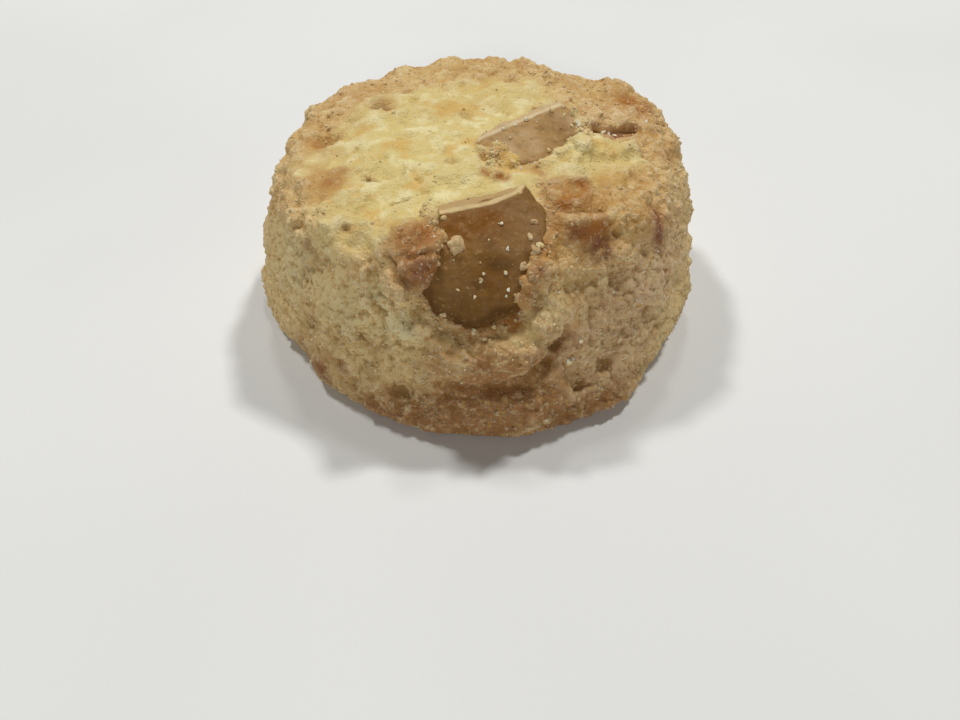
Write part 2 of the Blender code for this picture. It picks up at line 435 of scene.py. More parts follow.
class Coat:
    """A material that is painted layer by layer."""

    def __init__(self, name: str, ground: str) -> None:
        """Makes the material with a Principled shader.

        Args:
            name: the material's name.
            ground: its lowest colour, in hex.
        """
        self.material = bpy.data.materials.new(name)
        self.material.use_nodes = True
        self.tree = self.material.node_tree
        self.shader = self.tree.nodes["Principled BSDF"]
        self.place = add_node(self.tree, "ShaderNodeTexCoord").outputs["Object"]
        self.colour = linear(ground)

    def rise(self, value: bpy.types.NodeSocket, low: float, high: float) -> bpy.types.NodeSocket:
        """Stretches a node's output so that it runs softly from 0 at low to 1 at high."""
        inputs = {"Value": value, "From Min": low, "From Max": high}
        soft = {"interpolation_type": "SMOOTHSTEP"}
        return add_node(self.tree, "ShaderNodeMapRange", soft, inputs).outputs["Result"]

    def specks(self, kind: Speckle) -> bpy.types.NodeSocket:
        """Scatters specks of a real size over the material.

        Args:
            kind: how large and how strong they are.

        Returns:
            The socket that holds their share.
        """
        drawn = {0: self.place, 1: (1.0, 1.0, kind.upright)}
        place = add_node(self.tree, "ShaderNodeVectorMath", {"operation": "MULTIPLY"}, drawn)
        inputs = {
            "Vector": place.outputs["Vector"],
            "Scale": 1 / (kind.size * MM),
            "Detail": kind.detail,
            "Roughness": kind.roughness,
        }
        pattern = add_node(self.tree, "ShaderNodeTexNoise", inputs=inputs)
        return self.rise(pattern.outputs["Fac"], kind.low, kind.high)

    def grains(self, size: float) -> tuple[bpy.types.NodeSocket, bpy.types.NodeSocket]:
        """Packs the material with grains that lie side by side.

        Args:
            size: a grain's size in millimetres.

        Returns:
            How near each point is to its grain's edge, and a chance share of each grain's own.
        """
        scale = 1 / (size * MM)
        even = {"Vector": self.place, "Scale": scale}
        wobble = add_node(self.tree, "ShaderNodeTexNoise", inputs=even)
        bend = {0: wobble.outputs["Color"], 1: (0.5 * size * MM,) * 3, 2: self.place}
        bent_place = add_node(self.tree, "ShaderNodeVectorMath", {"operation": "MULTIPLY_ADD"}, bend)
        cells = add_node(
            self.tree,
            "ShaderNodeTexVoronoi",
            {"feature": "SMOOTH_F1"},
            {"Vector": bent_place.outputs["Vector"], "Scale": scale, "Smoothness": 0.5},
        )
        own = {"Color": cells.outputs["Color"]}
        chance = add_node(self.tree, "ShaderNodeSeparateColor", inputs=own)
        return cells.outputs["Distance"], chance.outputs["Red"]

    def share(self, *parts: Part) -> Part:
        """Multiplies all that a share is made of.

        Args:
            parts: its parts.

        Returns:
            The socket that holds the share.
        """
        product = None
        for part in parts:
            if isinstance(part, str):
                part = add_node(self.tree, "ShaderNodeAttribute", {"attribute_name": part})
                part = part.outputs["Fac"]
            elif isinstance(part, Speckle):
                part = self.specks(part)
            if product is not None:
                both = {0: product, 1: part}
                part = add_node(self.tree, "ShaderNodeMath", {"operation": "MULTIPLY"}, both).outputs[0]
            product = part
        return product

    def over(
        self, under: object, upper: str | bpy.types.NodeSocket, *parts: Part
    ) -> bpy.types.NodeSocket:
        """Lays one colour over another.

        Args:
            under: the colour below, as Blender's linear values or a node's output.
            upper: the colour above, in hex or as a node's output.
            parts: what the share that covers is made of.

        Returns:
            The socket that holds the mixed colour.
        """
        upper = linear(upper) if isinstance(upper, str) else upper
        inputs = {0: self.share(*parts), 6: under, 7: upper}
        return add_node(self.tree, "ShaderNodeMix", {"data_type": "RGBA"}, inputs).outputs[2]

    def lay(self, upper: str | bpy.types.NodeSocket, *parts: Part) -> None:
        """Lays a colour over all that is painted so far."""
        self.colour = self.over(self.colour, upper, *parts)

    def finish(self, values: dict[str | int, object]) -> bpy.types.Material:
        """Feeds the paint and all else to the shader.

        Args:
            values: for each of the shader's inputs, a value or the socket that feeds it.

        Returns:
            The finished material.
        """
        feed(self.tree, self.shader, {"Base Color": self.colour, **values})
        return self.material


@dataclass(frozen=True)
class BakedShortbread:
    """Baked butter shortbread: dull sandy crumb, pale yellow inside and golden where it browned."""

    wall: str = "#DEC288"
    wall_light: str = "#EAD6A4"
    wall_dark: str = "#C8A26A"
    pale: str = "#DCCE9C"
    tanned: str = "#A3764A"
    rosy: str = "#DAB892"
    crumb: str = "#DDC884"
    crumb_light: str = "#EDE0A8"
    crumb_warm: str = "#DDB96C"
    golden: str = "#C49A5C"
    caramel: str = "#A66A26"
    scorched: str = "#885238"
    # Painted shade: the darker colour laid in the dough's hollows
    painted_shade_and_stain: str = "#96703A"
    sugar: str = "#F0E2BE"
    roughness: float = 0.88
    glazed: float = 0.4
    grain_size: float = 0.34

    def material(self) -> bpy.types.Material:
        """Builds the crumb's colours and its finest grain.

        Returns:
            The finished material.
        """
        coat = Coat("baked_shortbread", self.wall)
        edge, chance = coat.grains(self.grain_size)
        # Clumps 4 mm across and grains of 1 mm and less take the heat unevenly
        coat.lay(self.wall_dark, Speckle(4.2, 0.50, 0.72))
        coat.lay(self.pale, "pale")
        coat.lay(self.rosy, "rosy")
        coat.lay(self.tanned, "tanned")
        coat.lay(self.wall_light, Speckle(1.1, 0.54, 0.72), 0.45)
        coat.lay(self.golden, Speckle(0.6, 0.54, 0.68), 0.8)
        crumb = coat.over(linear(self.crumb), self.crumb_light, Speckle(2.4, 0.46, 0.66))
        crumb = coat.over(crumb, self.crumb_warm, Speckle(4.2, 0.52, 0.68))
        coat.lay(crumb, "yellow")
        coat.lay(self.golden, "golden", Speckle(1.6, 0.22, 0.56))
        glaze = coat.share("caramel", Speckle(1.2, 0.26, 0.54))
        coat.lay(self.caramel, glaze)
        coat.lay(self.scorched, "scorched", Speckle(0.9, 0.24, 0.52))
        # The crests of the crumbs are painted paler in sugar's colour, a painted highlight. One grain
        # of sugar and flour in eight is light and one in ten brown, less so in the yellow crumb.
        coat.lay(self.sugar, "crest_highlight", 0.22)
        less = {0: coat.share("yellow"), 1: -0.7, 2: 1.0}
        sandy = add_node(coat.tree, "ShaderNodeMath", {"operation": "MULTIPLY_ADD"}, less).outputs[0]
        coat.lay(self.sugar, coat.rise(chance, 0.84, 0.92), 0.26, sandy)
        coat.lay(self.caramel, coat.rise(chance, 0.12, 0.06), 0.4, sandy)
        # Painted shade darkens the dough's hollows
        coat.lay(self.painted_shade_and_stain, "painted_shade_and_stain")
        # Syrup shines a little where it caramelised
        shine = {"Value": glaze, "To Min": self.roughness, "To Max": self.glazed}
        gloss = add_node(coat.tree, "ShaderNodeMapRange", inputs=shine)
        # The grains with flour between them, as relief too fine for the mesh
        powder = coat.specks(Speckle(0.24, 0.3, 0.7, 3.0))
        fine = {"Strength": 0.45, "Distance": 0.1 * MM, "Height": powder}
        flour = add_node(coat.tree, "ShaderNodeBump", inputs=fine).outputs["Normal"]
        coarse = {"Strength": 0.6, "Distance": 0.14 * MM, "Height": edge, "Normal": flour}
        grain = add_node(coat.tree, "ShaderNodeBump", {"invert": True}, coarse)
        return coat.finish(
            {
                "Roughness": gloss.outputs["Result"],
                "Specular IOR Level": 0.25,
                "Normal": grain.outputs["Normal"],
            }
        )


@dataclass(frozen=True)
class CandiedFruit:
    """Fruit cooked in syrup and dried: smooth, slightly see-through flesh with a pale sugared cut."""

    name: str
    flesh: str
    deep: str
    amber: str
    film: str
    cut: str
    cut_rim: str
    roughness: float = 0.5

    def material(self) -> bpy.types.Material:
        """Builds the fruit's clouded amber and its sugared cut.

        Returns:
            The finished material.
        """
        coat = Coat(self.name, self.flesh)
        # Syrup clouds the flesh every 3 mm, and fibres 0.7 mm wide run up and down in it
        coat.lay(self.deep, Speckle(3.2, 0.46, 0.8), 0.7)
        coat.lay(self.amber, "amber")
        coat.lay(self.film, Speckle(0.7, 0.52, 0.70, roughness=0.5, upright=0.2), 0.5)
        coat.lay(self.deep, Speckle(0.7, 0.46, 0.28, roughness=0.5, upright=0.2), 0.4)
        coat.lay(self.film, "film", 0.8)
        # On the fruit this mark holds only the syrup stains, not painted shade
        coat.lay(self.deep, "painted_shade_and_stain")
        coat.lay(self.cut, "cut")
        coat.lay(self.cut_rim, "cut_rim", 0.85)
        # Fine sugar dusts it
        coat.lay(self.cut, Speckle(0.45, 0.6, 0.72, 1.0), 0.22)
        dents = {"Strength": 0.4, "Distance": 0.12 * MM, "Height": coat.specks(Speckle(0.7, 0.3, 0.7))}
        dimples = add_node(coat.tree, "ShaderNodeBump", inputs=dents)
        return coat.finish(
            {
                "Roughness": self.roughness,
                "IOR": 1.45,
                "Specular IOR Level": 0.1,
                "Subsurface Weight": 0.1,
                "Subsurface Radius": (1.0, 0.6, 0.25),
                "Subsurface Scale": 0.8 * MM,
                "Normal": dimples.outputs["Normal"],
            }
        )


@dataclass(frozen=True)
class SugarCrystal:
    """Granulated sugar: small pale crystals that light falls through."""

    name: str = "granulated_sugar"
    colour: str = "#F4E8C8"
    stained: str = "#DCC290"
    roughness: float = 0.45
    see_through: float = 0.85

    def material(self) -> bpy.types.Material:
        """Builds the crystals' pale finish, which shows on the front what falls on the back."""
        coat = Coat(self.name, self.colour)
        coat.lay(self.stained, Speckle(2.5, 0.42, 0.6))
        return coat.finish(
            {
                "Roughness": self.roughness,
                "Specular IOR Level": 0.2,
                "Subsurface Weight": self.see_through,
                "Subsurface Radius": (1.0, 0.9, 0.7),
                "Subsurface Scale": 0.5 * MM,
            }
        )


@dataclass(frozen=True)
class WhitePaper:
    """Smooth white paper under the biscuit: a flat, faintly warm white."""

    colour: str = "#E9E9E6"
    shaded: str = "#E5E5E2"

    def material(self) -> bpy.types.Material:
        """Builds the paper's dull white."""
        coat = Coat("white_paper", self.colour)
        coat.lay(self.shaded, Speckle(90.0, 0.4, 0.7))
        return coat.finish({"Roughness": 0.9, "Specular IOR Level": 0.1})


def deselect_all() -> None:
    """Deselects every object."""
    bpy.ops.object.select_all(action="DESELECT")


def make_active(obj: bpy.types.Object) -> None:
    """Selects one object alone and makes it active."""
    deselect_all()
    obj.select_set(True)
    bpy.context.view_layer.objects.active = obj


def apply(obj: bpy.types.Object, kind: str, **settings: object) -> None:
    """Adds a modifier to an object and applies it.

    Args:
        obj: the object.
        kind: the modifier's Blender type.
        settings: the modifier's own properties.
    """
    make_active(obj)
    modifier = obj.modifiers.new(kind.lower(), kind)
    for name, value in settings.items():
        setattr(modifier, name, value)
    bpy.ops.object.modifier_apply(modifier=modifier.name)


def copy_of_node(node: str, name: str) -> bpy.types.Object:
    """Copies a CAD node and merges its loose triangles, so that it can be refined.

    Args:
        node: the CAD node's name.
        name: the new piece's name.

    Returns:
        The copy, one closed mesh.
    """
    source = frame["nodes"][node]
    piece = source.copy()
    piece.data = source.data.copy()
    piece.name = piece.data.name = name
    piece.parent = None
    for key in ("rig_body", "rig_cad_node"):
        if key in piece:
            del piece[key]
    piece.data.materials.clear()
    bpy.context.scene.collection.objects.link(piece)
    make_active(piece)
    bpy.ops.object.mode_set(mode="EDIT")
    bpy.ops.mesh.select_all(action="SELECT")
    bpy.ops.mesh.remove_doubles(threshold=0.0005 * MM)
    bpy.ops.object.mode_set(mode="OBJECT")
    return piece


def points_of(obj: bpy.types.Object) -> np.ndarray:
    """Reads a mesh's vertices in millimetres from the round's own axis."""
    flat = np.empty(len(obj.data.vertices) * 3, np.float32)
    obj.data.vertices.foreach_get("co", flat)
    return flat.reshape(-1, 3).astype(float) / MM - ROUND_MIDDLE


def normals_of(obj: bpy.types.Object) -> np.ndarray:
    """Reads a mesh's vertex normals."""
    flat = np.empty(len(obj.data.vertices) * 3, np.float32)
    obj.data.vertex_normals.foreach_get("vector", flat)
    return flat.reshape(-1, 3).astype(float)


def faces_of(obj: bpy.types.Object) -> tuple[np.ndarray, np.ndarray, np.ndarray]:
    """Reads a mesh's faces.

    Args:
        obj: the object.

    Returns:
        Their middles in millimetres from the round's own axis, their normals and their areas.
    """
    count = len(obj.data.polygons)
    middles, normals = np.empty(count * 3, np.float32), np.empty(count * 3, np.float32)
    areas = np.empty(count, np.float32)
    obj.data.polygons.foreach_get("center", middles)
    obj.data.polygons.foreach_get("normal", normals)
    obj.data.polygons.foreach_get("area", areas)
    return middles.reshape(-1, 3) / MM - ROUND_MIDDLE, normals.reshape(-1, 3).astype(float), areas


def move_points(obj: bpy.types.Object, points: np.ndarray) -> None:
    """Writes a mesh's vertices back, from millimetres from the round's own axis.

    Args:
        obj: the object.
        points: the new positions, one a row.
    """
    placed = ((points + ROUND_MIDDLE) * MM).astype(np.float32)
    obj.data.vertices.foreach_set("co", placed.ravel())
    obj.data.update()


def write_mark(obj: bpy.types.Object, name: str, values: np.ndarray) -> None:
    """Stores a share from 0 to 1 at each vertex, for the material to read.

    Args:
        obj: the object.
        name: the mark's name.
        values: one share for each vertex.
    """
    layer = obj.data.attributes.new(name, "FLOAT", "POINT")
    layer.data.foreach_set("value", np.clip(values, 0.0, 1.0).astype(np.float32))


def read_mark(obj: bpy.types.Object, name: str) -> np.ndarray:
    """Reads back a share that a mesh carries at each vertex, or 0 where it has no such mark."""
    values = np.zeros(len(obj.data.vertices), np.float32)
    if name in obj.data.attributes:
        obj.data.attributes[name].data.foreach_get("value", values)
    return values


def surface_of(obj: bpy.types.Object) -> BVHTree:
    """Makes a search tree of a piece's surface, in metres."""
    return BVHTree.FromObject(obj, bpy.context.evaluated_depsgraph_get())


def depth_in(obj: bpy.types.Object, rounds: int) -> np.ndarray:
    """Measures how deep each vertex lies in a dip of the surface around it.

    Args:
        obj: the object.
        rounds: how many times the surface around is evened out first.

    Returns:
        One depth for each vertex in millimetres, negative on a bump.
    """
    points, ends = points_of(obj), np.empty(len(obj.data.edges) * 2, np.int32)
    obj.data.edges.foreach_get("vertices", ends)
    first, second = ends.reshape(-1, 2).T
    counts = np.bincount(ends, minlength=len(points))
    even = points.copy()
    for _ in range(rounds):
        for axis in range(3):
            sums = np.bincount(first, even[second, axis], len(points))
            sums = sums + np.bincount(second, even[first, axis], len(points))
            even[:, axis] = 0.5 * even[:, axis] + 0.5 * sums / counts
    return ((even - points) * normals_of(obj)).sum(axis=1)


def near_box(obj: bpy.types.Object, points: np.ndarray, margin: float) -> np.ndarray:
    """Finds the points within a piece's box, widened by a margin in millimetres."""
    corners = np.array(obj.bound_box) / MM - ROUND_MIDDLE
    low, high = corners.min(axis=0) - margin, corners.max(axis=0) + margin
    return np.flatnonzero(((points > low) & (points < high)).all(axis=1))


def thin_faces(obj: bpy.types.Object, chosen: np.ndarray, margin: int, ratio: float) -> None:
    """Thins some faces of a mesh, apart from those near the edge of the chosen area.

    Args:
        obj: the object.
        chosen: true for each face to thin.
        margin: how many rows of faces along the area's edge stay as they are.
        ratio: the share of the faces that stays.
    """
    make_active(obj)
    bpy.ops.object.mode_set(mode="EDIT")
    bpy.ops.mesh.select_mode(type="FACE")
    bpy.ops.mesh.select_all(action="DESELECT")
    bpy.ops.object.mode_set(mode="OBJECT")
    obj.data.polygons.foreach_set("select", chosen)
    bpy.ops.object.mode_set(mode="EDIT")
    for _ in range(margin):
        bpy.ops.mesh.select_less()
    bpy.ops.mesh.decimate(ratio=ratio)
    bpy.ops.object.mode_set(mode="OBJECT")


def hand_over(
    piece: bpy.types.Object,
    material: bpy.types.Material,
    stands_for: str | None = None,
    smooth: bool = True,
) -> None:
    """Dresses a finished piece, hangs it on the root body and hides the CAD node that it stands for.

    Args:
        piece: the piece.
        material: what it is made of.
        stands_for: the CAD node that it replaces, if any.
        smooth: whether its faces are shaded as one round surface.
    """
    piece.data.materials.append(material)
    if smooth:
        piece.data.shade_smooth()
    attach(piece, "root")
    if stands_for:
        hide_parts(stands_for)
    LOG.info("%s: %d faces", piece.name, len(piece.data.polygons))


@dataclass
class FruitPiece:
    """One diced piece of candied fruit in the dough.

    Args:
        node: the CAD node it stands for, which also names it.
        slot: the record's material slot; not used.
        finish: what it is made of.
        cut_face: the edges round its pale cut face.
        cut_rim: the sugared line along that face.
        amber: where light comes through it.
        film: where dried sugar greys it.
        stains: where syrup has browned it.
        voxel: the mesh's spacing, in millimetres.
        softening: how many times its edges and corners are evened out.
        dent_height: how far its dried skin swells and sinks, in millimetres.
        fibre_height: how far the fibres that run up and down stand out.
    """

    node: str
    slot: str
    finish: CandiedFruit
    cut_face: tuple[Edge, ...]
    cut_rim: Line
    amber: tuple[Spot | Line, ...]
    film: tuple[Spot | Line, ...]
    stains: tuple[Spot | Line, ...]
    voxel: float = 0.2
    softening: int = 14
    dent_height: float = 0.3
    fibre_height: float = 0.1

    def build(self) -> bpy.types.Object:
        """Softens the CAD solid to a dried, slightly dented piece of fruit.

        Returns:
            The finished piece.
        """
        piece = copy_of_node(self.node, self.node.replace("candied_chunk", "candied_fruit"))
        apply(piece, "REMESH", mode="VOXEL", voxel_size=self.voxel * MM, adaptivity=0.0)
        apply(piece, "SMOOTH", factor=0.5, iterations=self.softening)
        points, normals = points_of(piece), normals_of(piece)
        dents = sample(points, 3.6, 4.2, Pattern.SWELL)
        dents = dents + 0.45 * sample(points, 1.3, 9.1, Pattern.SWELL)
        fibres = sample(points * (1.0, 1.0, 0.25), 0.8, 5.3, Pattern.SWELL)
        relief = dents * self.dent_height + fibres * self.fibre_height
        move_points(piece, points + normals * relief[:, None])
        self.colour(piece)
        hand_over(piece, self.finish.material(), self.node)
        return piece

    def colour(self, piece: bpy.types.Object) -> None:
        """Marks the cut face and its rim, the amber places, the greyed ones and the stains.

        Args:
            piece: the finished mesh.
        """
        points, ground = points_of(piece), Ground((surface_of(piece),))
        wave = 1 + 0.5 * sample(points, 1.6, 2.4, Pattern.SWELL)
        ragged = 0.25 * sample(points, 0.9, 8.4, Pattern.SWELL)
        cut = smooth_step(points[:, 2], 18.5, 19.5)
        for edge in self.cut_face:
            cut = cut * smooth_step(edge.inside(points) + ragged, -0.12, 0.12)
        write_mark(piece, "cut", cut)
        rim = smooth_step(self.cut_rim.weigh(points, ground) * wave, 0.3, 0.8)
        write_mark(piece, "cut_rim", rim)
        write_mark(piece, "amber", total(self.amber, points, ground) * wave)
        write_mark(piece, "film", total(self.film, points, ground) * wave)
        write_mark(piece, "painted_shade_and_stain", total(self.stains, points, ground) * wave)


# Where the dough is pale yellow: the flat of the top, left of the fruit, and the broken lumps to
# the fruit's right
YELLOW_PLACES = (
    Spot((-4.0, -3.0, 22.0), 10.5, 1.0),
    Spot((-8.0, -9.0, 21.8), 7.5, 0.9),
    Spot((-3.0, 7.0, 22.0), 8.5, 0.8),
    Spot((2.0, -7.6, 22.0), 3.6, 0.9),
    Spot((4.5, 10.5, 21.9), 4.5, 0.7),
    Spot((13.5, -3.0, 21.8), 4.1, 1.3),
    Spot((16.5, -1.4, 21.4), 2.2, 0.7),
    Spot((-14.0, -14.0, 20.6), 4.0, 0.5),
    Line(((-19.0, -3.6, 21.0), (-16.2, -0.6, 21.6), (-12.0, 6.6, 21.8)), 3.2, 0.55),
    Spot((12.0, -8.0, 21.6), 2.2, 0.4),
    Spot((4.4, -23.4, 13.8), 1.7, 0.8),
    Spot((-3.6, -23.9, 13.4), 1.6, 0.45),
)

# Where the oven browned it: the rim all round, the lumps round the fruit and the right shoulder
GOLDEN_PLACES = (
    Spot((-18.0, 3.0, 20.6), 4.6, 0.9),
    Spot((-17.0, -6.5, 21.0), 3.4, 0.9),
    Spot((-14.5, 13.5, 20.6), 5.0, 0.8),
    Spot((0.0, 20.0, 21.0), 7.0, 0.8),
    Spot((15.0, 14.0, 20.8), 7.0, 0.9),
    Spot((20.0, 4.0, 20.4), 5.5, 0.9),
    Spot((17.0, -10.0, 20.4), 5.5, 0.8),
    Spot((10.4, -12.6, 21.3), 5.0, 1.3),
    Spot((-7.4, -16.6, 22.4), 2.4, 1.0),
    Spot((7.4, -19.0, 19.6), 2.6, 0.7),
    Spot((1.4, -3.4, 22.2), 1.8, 1.2),
    Spot((-5.0, 5.6, 22.1), 2.6, 0.35),
    Spot((-0.3, 7.8, 22.1), 2.4, 0.35),
    Spot((-15.2, -7.0, 21.4), 1.8, 0.7),
    Spot((3.0, -24.0, 12.0), 2.6, 0.3),
    Spot((-3.4, -23.9, 13.2), 2.0, 0.6),
)

# Where it is browner all through: the foot in front, the side to the right and the lumps by the fruit
TANNED_PLACES = (
    Line(((-10.0, -23.4, 2.0), (0.0, -25.4, 3.0), (10.0, -23.6, 3.0), (14.0, -21.3, 1.6)), 4.2, 1.0),
    Spot((1.0, -25.2, 7.0), 4.4, 0.7),
    Spot((14.0, -20.4, 14.6), 4.0, 0.3),
    Spot((-20.0, -14.0, 2.0), 4.0, 0.4),
    Spot((10.5, -20.6, 17.5), 2.6, 0.35),
    Spot((-6.6, -17.2, 21.4), 2.4, 0.9),
    Spot((-5.4, -20.8, 20.0), 2.4, 1.1),
    Line(((-3.2, -24.4, 10.6), (1.6, -24.8, 10.2), (6.4, -23.8, 11.8)), 3.0, 0.75),
    Line(((4.6, -21.9, 18.6), (6.4, -18.6, 21.0), (7.6, -14.0, 21.6)), 1.8, 0.75),
    Spot((9.0, -10.2, 21.8), 2.4, 0.35),
)

# Where the crumb is a paler, greyer tan
PALE_PLACES = (
    Line(((-9.6, -20.2, 17.6), (-9.4, -21.6, 14.4), (-7.6, -22.6, 13.0)), 1.7, 0.9),
    Spot((-20.0, -12.0, 14.0), 4.0, 0.6),
    Spot((-13.5, -19.0, 13.0), 3.0, 0.45),
    Spot((18.2, -15.6, 13.6), 2.6, 0.8),
    Spot((-3.2, -23.8, 13.6), 2.0, 0.2),
    Spot((13.3, -0.6, 21.8), 2.4, 0.6),
    Spot((11.5, 3.9, 21.8), 1.6, 0.6),
)

# Where it has a faint pink cast
ROSY_PLACES = (
    Spot((15.6, -18.4, 15.0), 4.4, 0.7),
    Spot((21.0, -10.0, 14.0), 6.0, 0.6),
    Spot((9.0, -22.6, 13.0), 3.5, 0.5),
    Spot((10.0, -23.4, 7.4), 3.4, 0.3),
    Spot((15.8, -19.8, 6.6), 4.0, 0.6),
    Spot((-14.0, 13.0, 20.0), 5.0, 0.4),
    Spot((-18.0, -2.0, 20.6), 4.0, 0.4),
    Spot((18.0, 8.0, 20.6), 5.0, 0.6),
)

# Where butter and syrup caramelised
CARAMEL_PLACES = (
    Line(((6.8, -10.2, 21.8), (7.9, -8.9, 21.9), (9.4, -8.4, 21.8), (10.9, -9.0, 21.7)), 0.8, 0.55),
    Line(((10.9, -9.0, 21.7), (10.9, -10.9, 21.6), (8.9, -11.8, 21.6), (7.2, -11.4, 21.7)), 0.9, 0.7),
    Spot((8.8, -10.4, 21.8), 1.4, 0.8),
    Line(((7.4, -12.8, 21.6), (9.8, -13.8, 21.4), (12.2, -13.4, 21.3)), 0.9, 0.65),
    Line(((7.0, -15.2, 21.5), (9.8, -15.9, 21.3), (12.0, -15.2, 21.2)), 0.9, 0.6),
    Spot((10.6, -16.6, 21.0), 1.8, 0.8),
    Spot((18.3, -12.2, 19.5), 1.6, 0.6),
    Spot((12.4, -8.6, 21.6), 1.8, 0.45),
    Line(((-1.0, -23.6, 14.8), (0.4, -23.4, 15.4), (1.7, -23.4, 15.2), (3.1, -23.2, 15.5)), 1.0, 1.0),
    Line(((3.9, -23.3, 14.7), (5.4, -23.4, 13.5)), 1.2, 0.6),
    Spot((6.2, -18.6, 20.9), 1.3, 0.6),
    Spot((-4.9, -16.6, 21.6), 1.5, 0.7),
    Line(((0.5, -7.0, 22.1), (1.6, -7.5, 22.1), (2.6, -8.1, 22.1)), 0.7, 0.9),
    Line(((4.9, -5.7, 22.1), (5.6, -6.3, 22.1), (6.3, -7.2, 22.0)), 0.8, 0.8),
    Line(((0.4, -4.1, 22.2), (1.3, -4.6, 22.2), (2.4, -4.4, 22.2)), 0.6, 0.6),
    Spot((-6.8, -17.2, 21.4), 1.9, 0.45),
    Spot((-5.6, -20.4, 20.2), 1.9, 0.6),
    Spot((-15.8, -7.9, 21.4), 1.1, 0.8),
    Spot((-14.5, -6.2, 21.6), 0.8, 0.6),
    Spot((-17.4, 0.7, 21.4), 1.4, 0.95),
    Spot((-11.6, 7.4, 21.8), 1.3, 0.6),
    Spot((-11.4, 7.5, 21.7), 1.6, 0.35),
    Spot((6.4, 7.2, 22.0), 0.9, 0.8),
    Spot((-21.3, -14.7, 3.6), 1.6, 0.5),
    Spot((6.0, 21.0, 20.6), 1.6, 0.5),
    Spot((19.6, 11.0, 20.6), 2.0, 0.6),
    Line(((17.4, 10.6, 21.2), (19.4, 8.8, 20.8)), 1.3, 0.7),
    Spot((10.2, -22.4, 11.4), 0.7, 0.7),
    Spot((-1.7, 5.0, 22.2), 0.7, 0.6),
    Spot((-11.4, -7.7, 21.7), 0.7, 0.6),
    Spot((-3.0, -5.1, 22.2), 0.8, 0.45),
)

# Where it came near to burning, red-brown
SCORCHED_PLACES = (
    Spot((11.6, -17.7, 20.4), 1.4, 1.0),
    Spot((9.6, -16.2, 21.2), 1.1, 0.55),
    Spot((-5.7, -20.6, 20.0), 2.0, 0.6),
    Spot((-6.2, -17.0, 21.4), 1.6, 0.2),
    Line(((18.0, -11.6, 20.2), (18.4, -12.6, 19.1), (18.9, -13.1, 17.1)), 0.9, 0.95),
    Spot((-13.3, -15.2, 20.9), 0.34, 1.0),
    Spot((-17.6, -14.5, 18.2), 0.8, 0.75),
    Spot((-14.6, -20.9, 6.9), 1.1, 0.55),
    Line(((-20.3, -15.8, 4.7), (-18.0, -18.5, 4.1), (-16.8, -19.7, 3.6)), 0.9, 0.5),
    Line(((13.1, 2.9, 21.6), (16.1, 1.8, 21.4), (17.5, 3.4, 21.4)), 0.8, 0.8),
    Line(((4.0, -24.7, 9.6), (5.0, -24.4, 10.2), (6.1, -23.9, 11.3), (7.6, -22.9, 12.8)), 0.5, 0.9),
    Spot((10.8, -23.2, 6.5), 0.7, 0.6),
    Spot((13.4, -21.5, 8.0), 0.7, 0.6),
    Line(((2.6, -23.0, 16.6), (4.0, -22.6, 17.0)), 0.7, 0.8),
    Spot((5.8, -20.4, 19.9), 0.6, 0.6),
    Spot((21.0, 1.0, 19.6), 1.2, 0.5),
)

# The clumps of dough that lap over the fruit's edges, and those that lie loose on the rim
CLUMPS = (
    Grain((-4.5, -15.9, 21.5), 2.0),
    Grain((-4.9, -17.5, 21.3), 2.4),
    Grain((-4.7, -20.1, 20.7), 2.2),
    Grain((-4.6, -21.0, 20.2), 1.8),
    Grain((-5.1, -21.6, 19.4), 1.8),
    Grain((-5.7, -20.7, 20.1), 3.0),
    Grain((-5.2, -22.3, 17.8), 1.5),
    Grain((-4.7, -22.6, 16.6), 1.3),
    Grain((-3.8, -23.0, 15.8), 1.1),
    Grain((-2.7, -23.4, 15.1), 1.1),
    Grain((-1.5, -23.6, 14.8), 1.2),
    Grain((-5.2, -14.2, 21.7), 1.3),
    Grain((-5.2, -15.2, 21.6), 1.8),
    Grain((4.2, -22.5, 17.8), 1.5),
    Grain((4.9, -22.3, 18.3), 1.7),
    Grain((5.2, -21.9, 19.0), 2.1),
    Grain((4.5, -21.8, 19.4), 1.5),
    Grain((5.5, -20.6, 20.3), 2.4),
    Grain((6.1, -20.7, 20.1), 1.9),
    Grain((6.3, -19.4, 20.8), 1.5),
    Grain((6.7, -17.7, 21.2), 1.3),
    Grain((6.6, -16.4, 21.3), 1.1),
    Grain((6.9, -15.2, 21.4), 1.2),
    Grain((6.8, -13.8, 21.6), 1.0),
    Grain((6.2, -12.2, 21.8), 0.9),
    Grain((5.4, -11.0, 22.0), 0.8),
    Grain((0.9, -3.0, 22.3), 2.0),
    Grain((1.6, -3.6, 22.2), 3.0),
    Grain((2.3, -2.9, 22.3), 1.6),
    Grain((1.9, -5.0, 22.2), 1.3),
    Grain((2.8, -5.9, 22.2), 1.6),
    Grain((4.0, -6.7, 22.1), 1.4),
    Grain((5.0, -6.3, 22.1), 1.2),
    Grain((6.4, -5.9, 22.1), 2.0),
    Grain((7.7, -4.8, 22.0), 2.4),
    Grain((9.0, -3.8, 22.0), 2.6),
    Grain((10.2, -2.2, 22.0), 2.3),
    Grain((11.3, -0.5, 21.9), 2.2),
    Grain((11.8, 1.6, 21.9), 1.8),
    Grain((11.4, 3.7, 21.8), 1.5),
    Grain((10.8, 5.4, 21.9), 1.2),
    Grain((12.1, -2.2, 21.8), 3.2),
    Grain((13.8, -2.6, 21.7), 3.4),
    Grain((15.7, -1.8, 21.6), 3.0),
    Grain((10.2, -5.5, 21.9), 3.0),
    Grain((8.6, -5.9, 22.0), 2.6),
    Grain((13.3, -0.4, 21.8), 2.6),
    Grain((17.3, -0.4, 21.4), 2.2),
    Grain((1.6, -7.5, 22.1), 1.5),
    Grain((6.4, 7.2, 22.0), 1.2),
    Grain((14.8, 2.0, 21.6), 1.3),
)

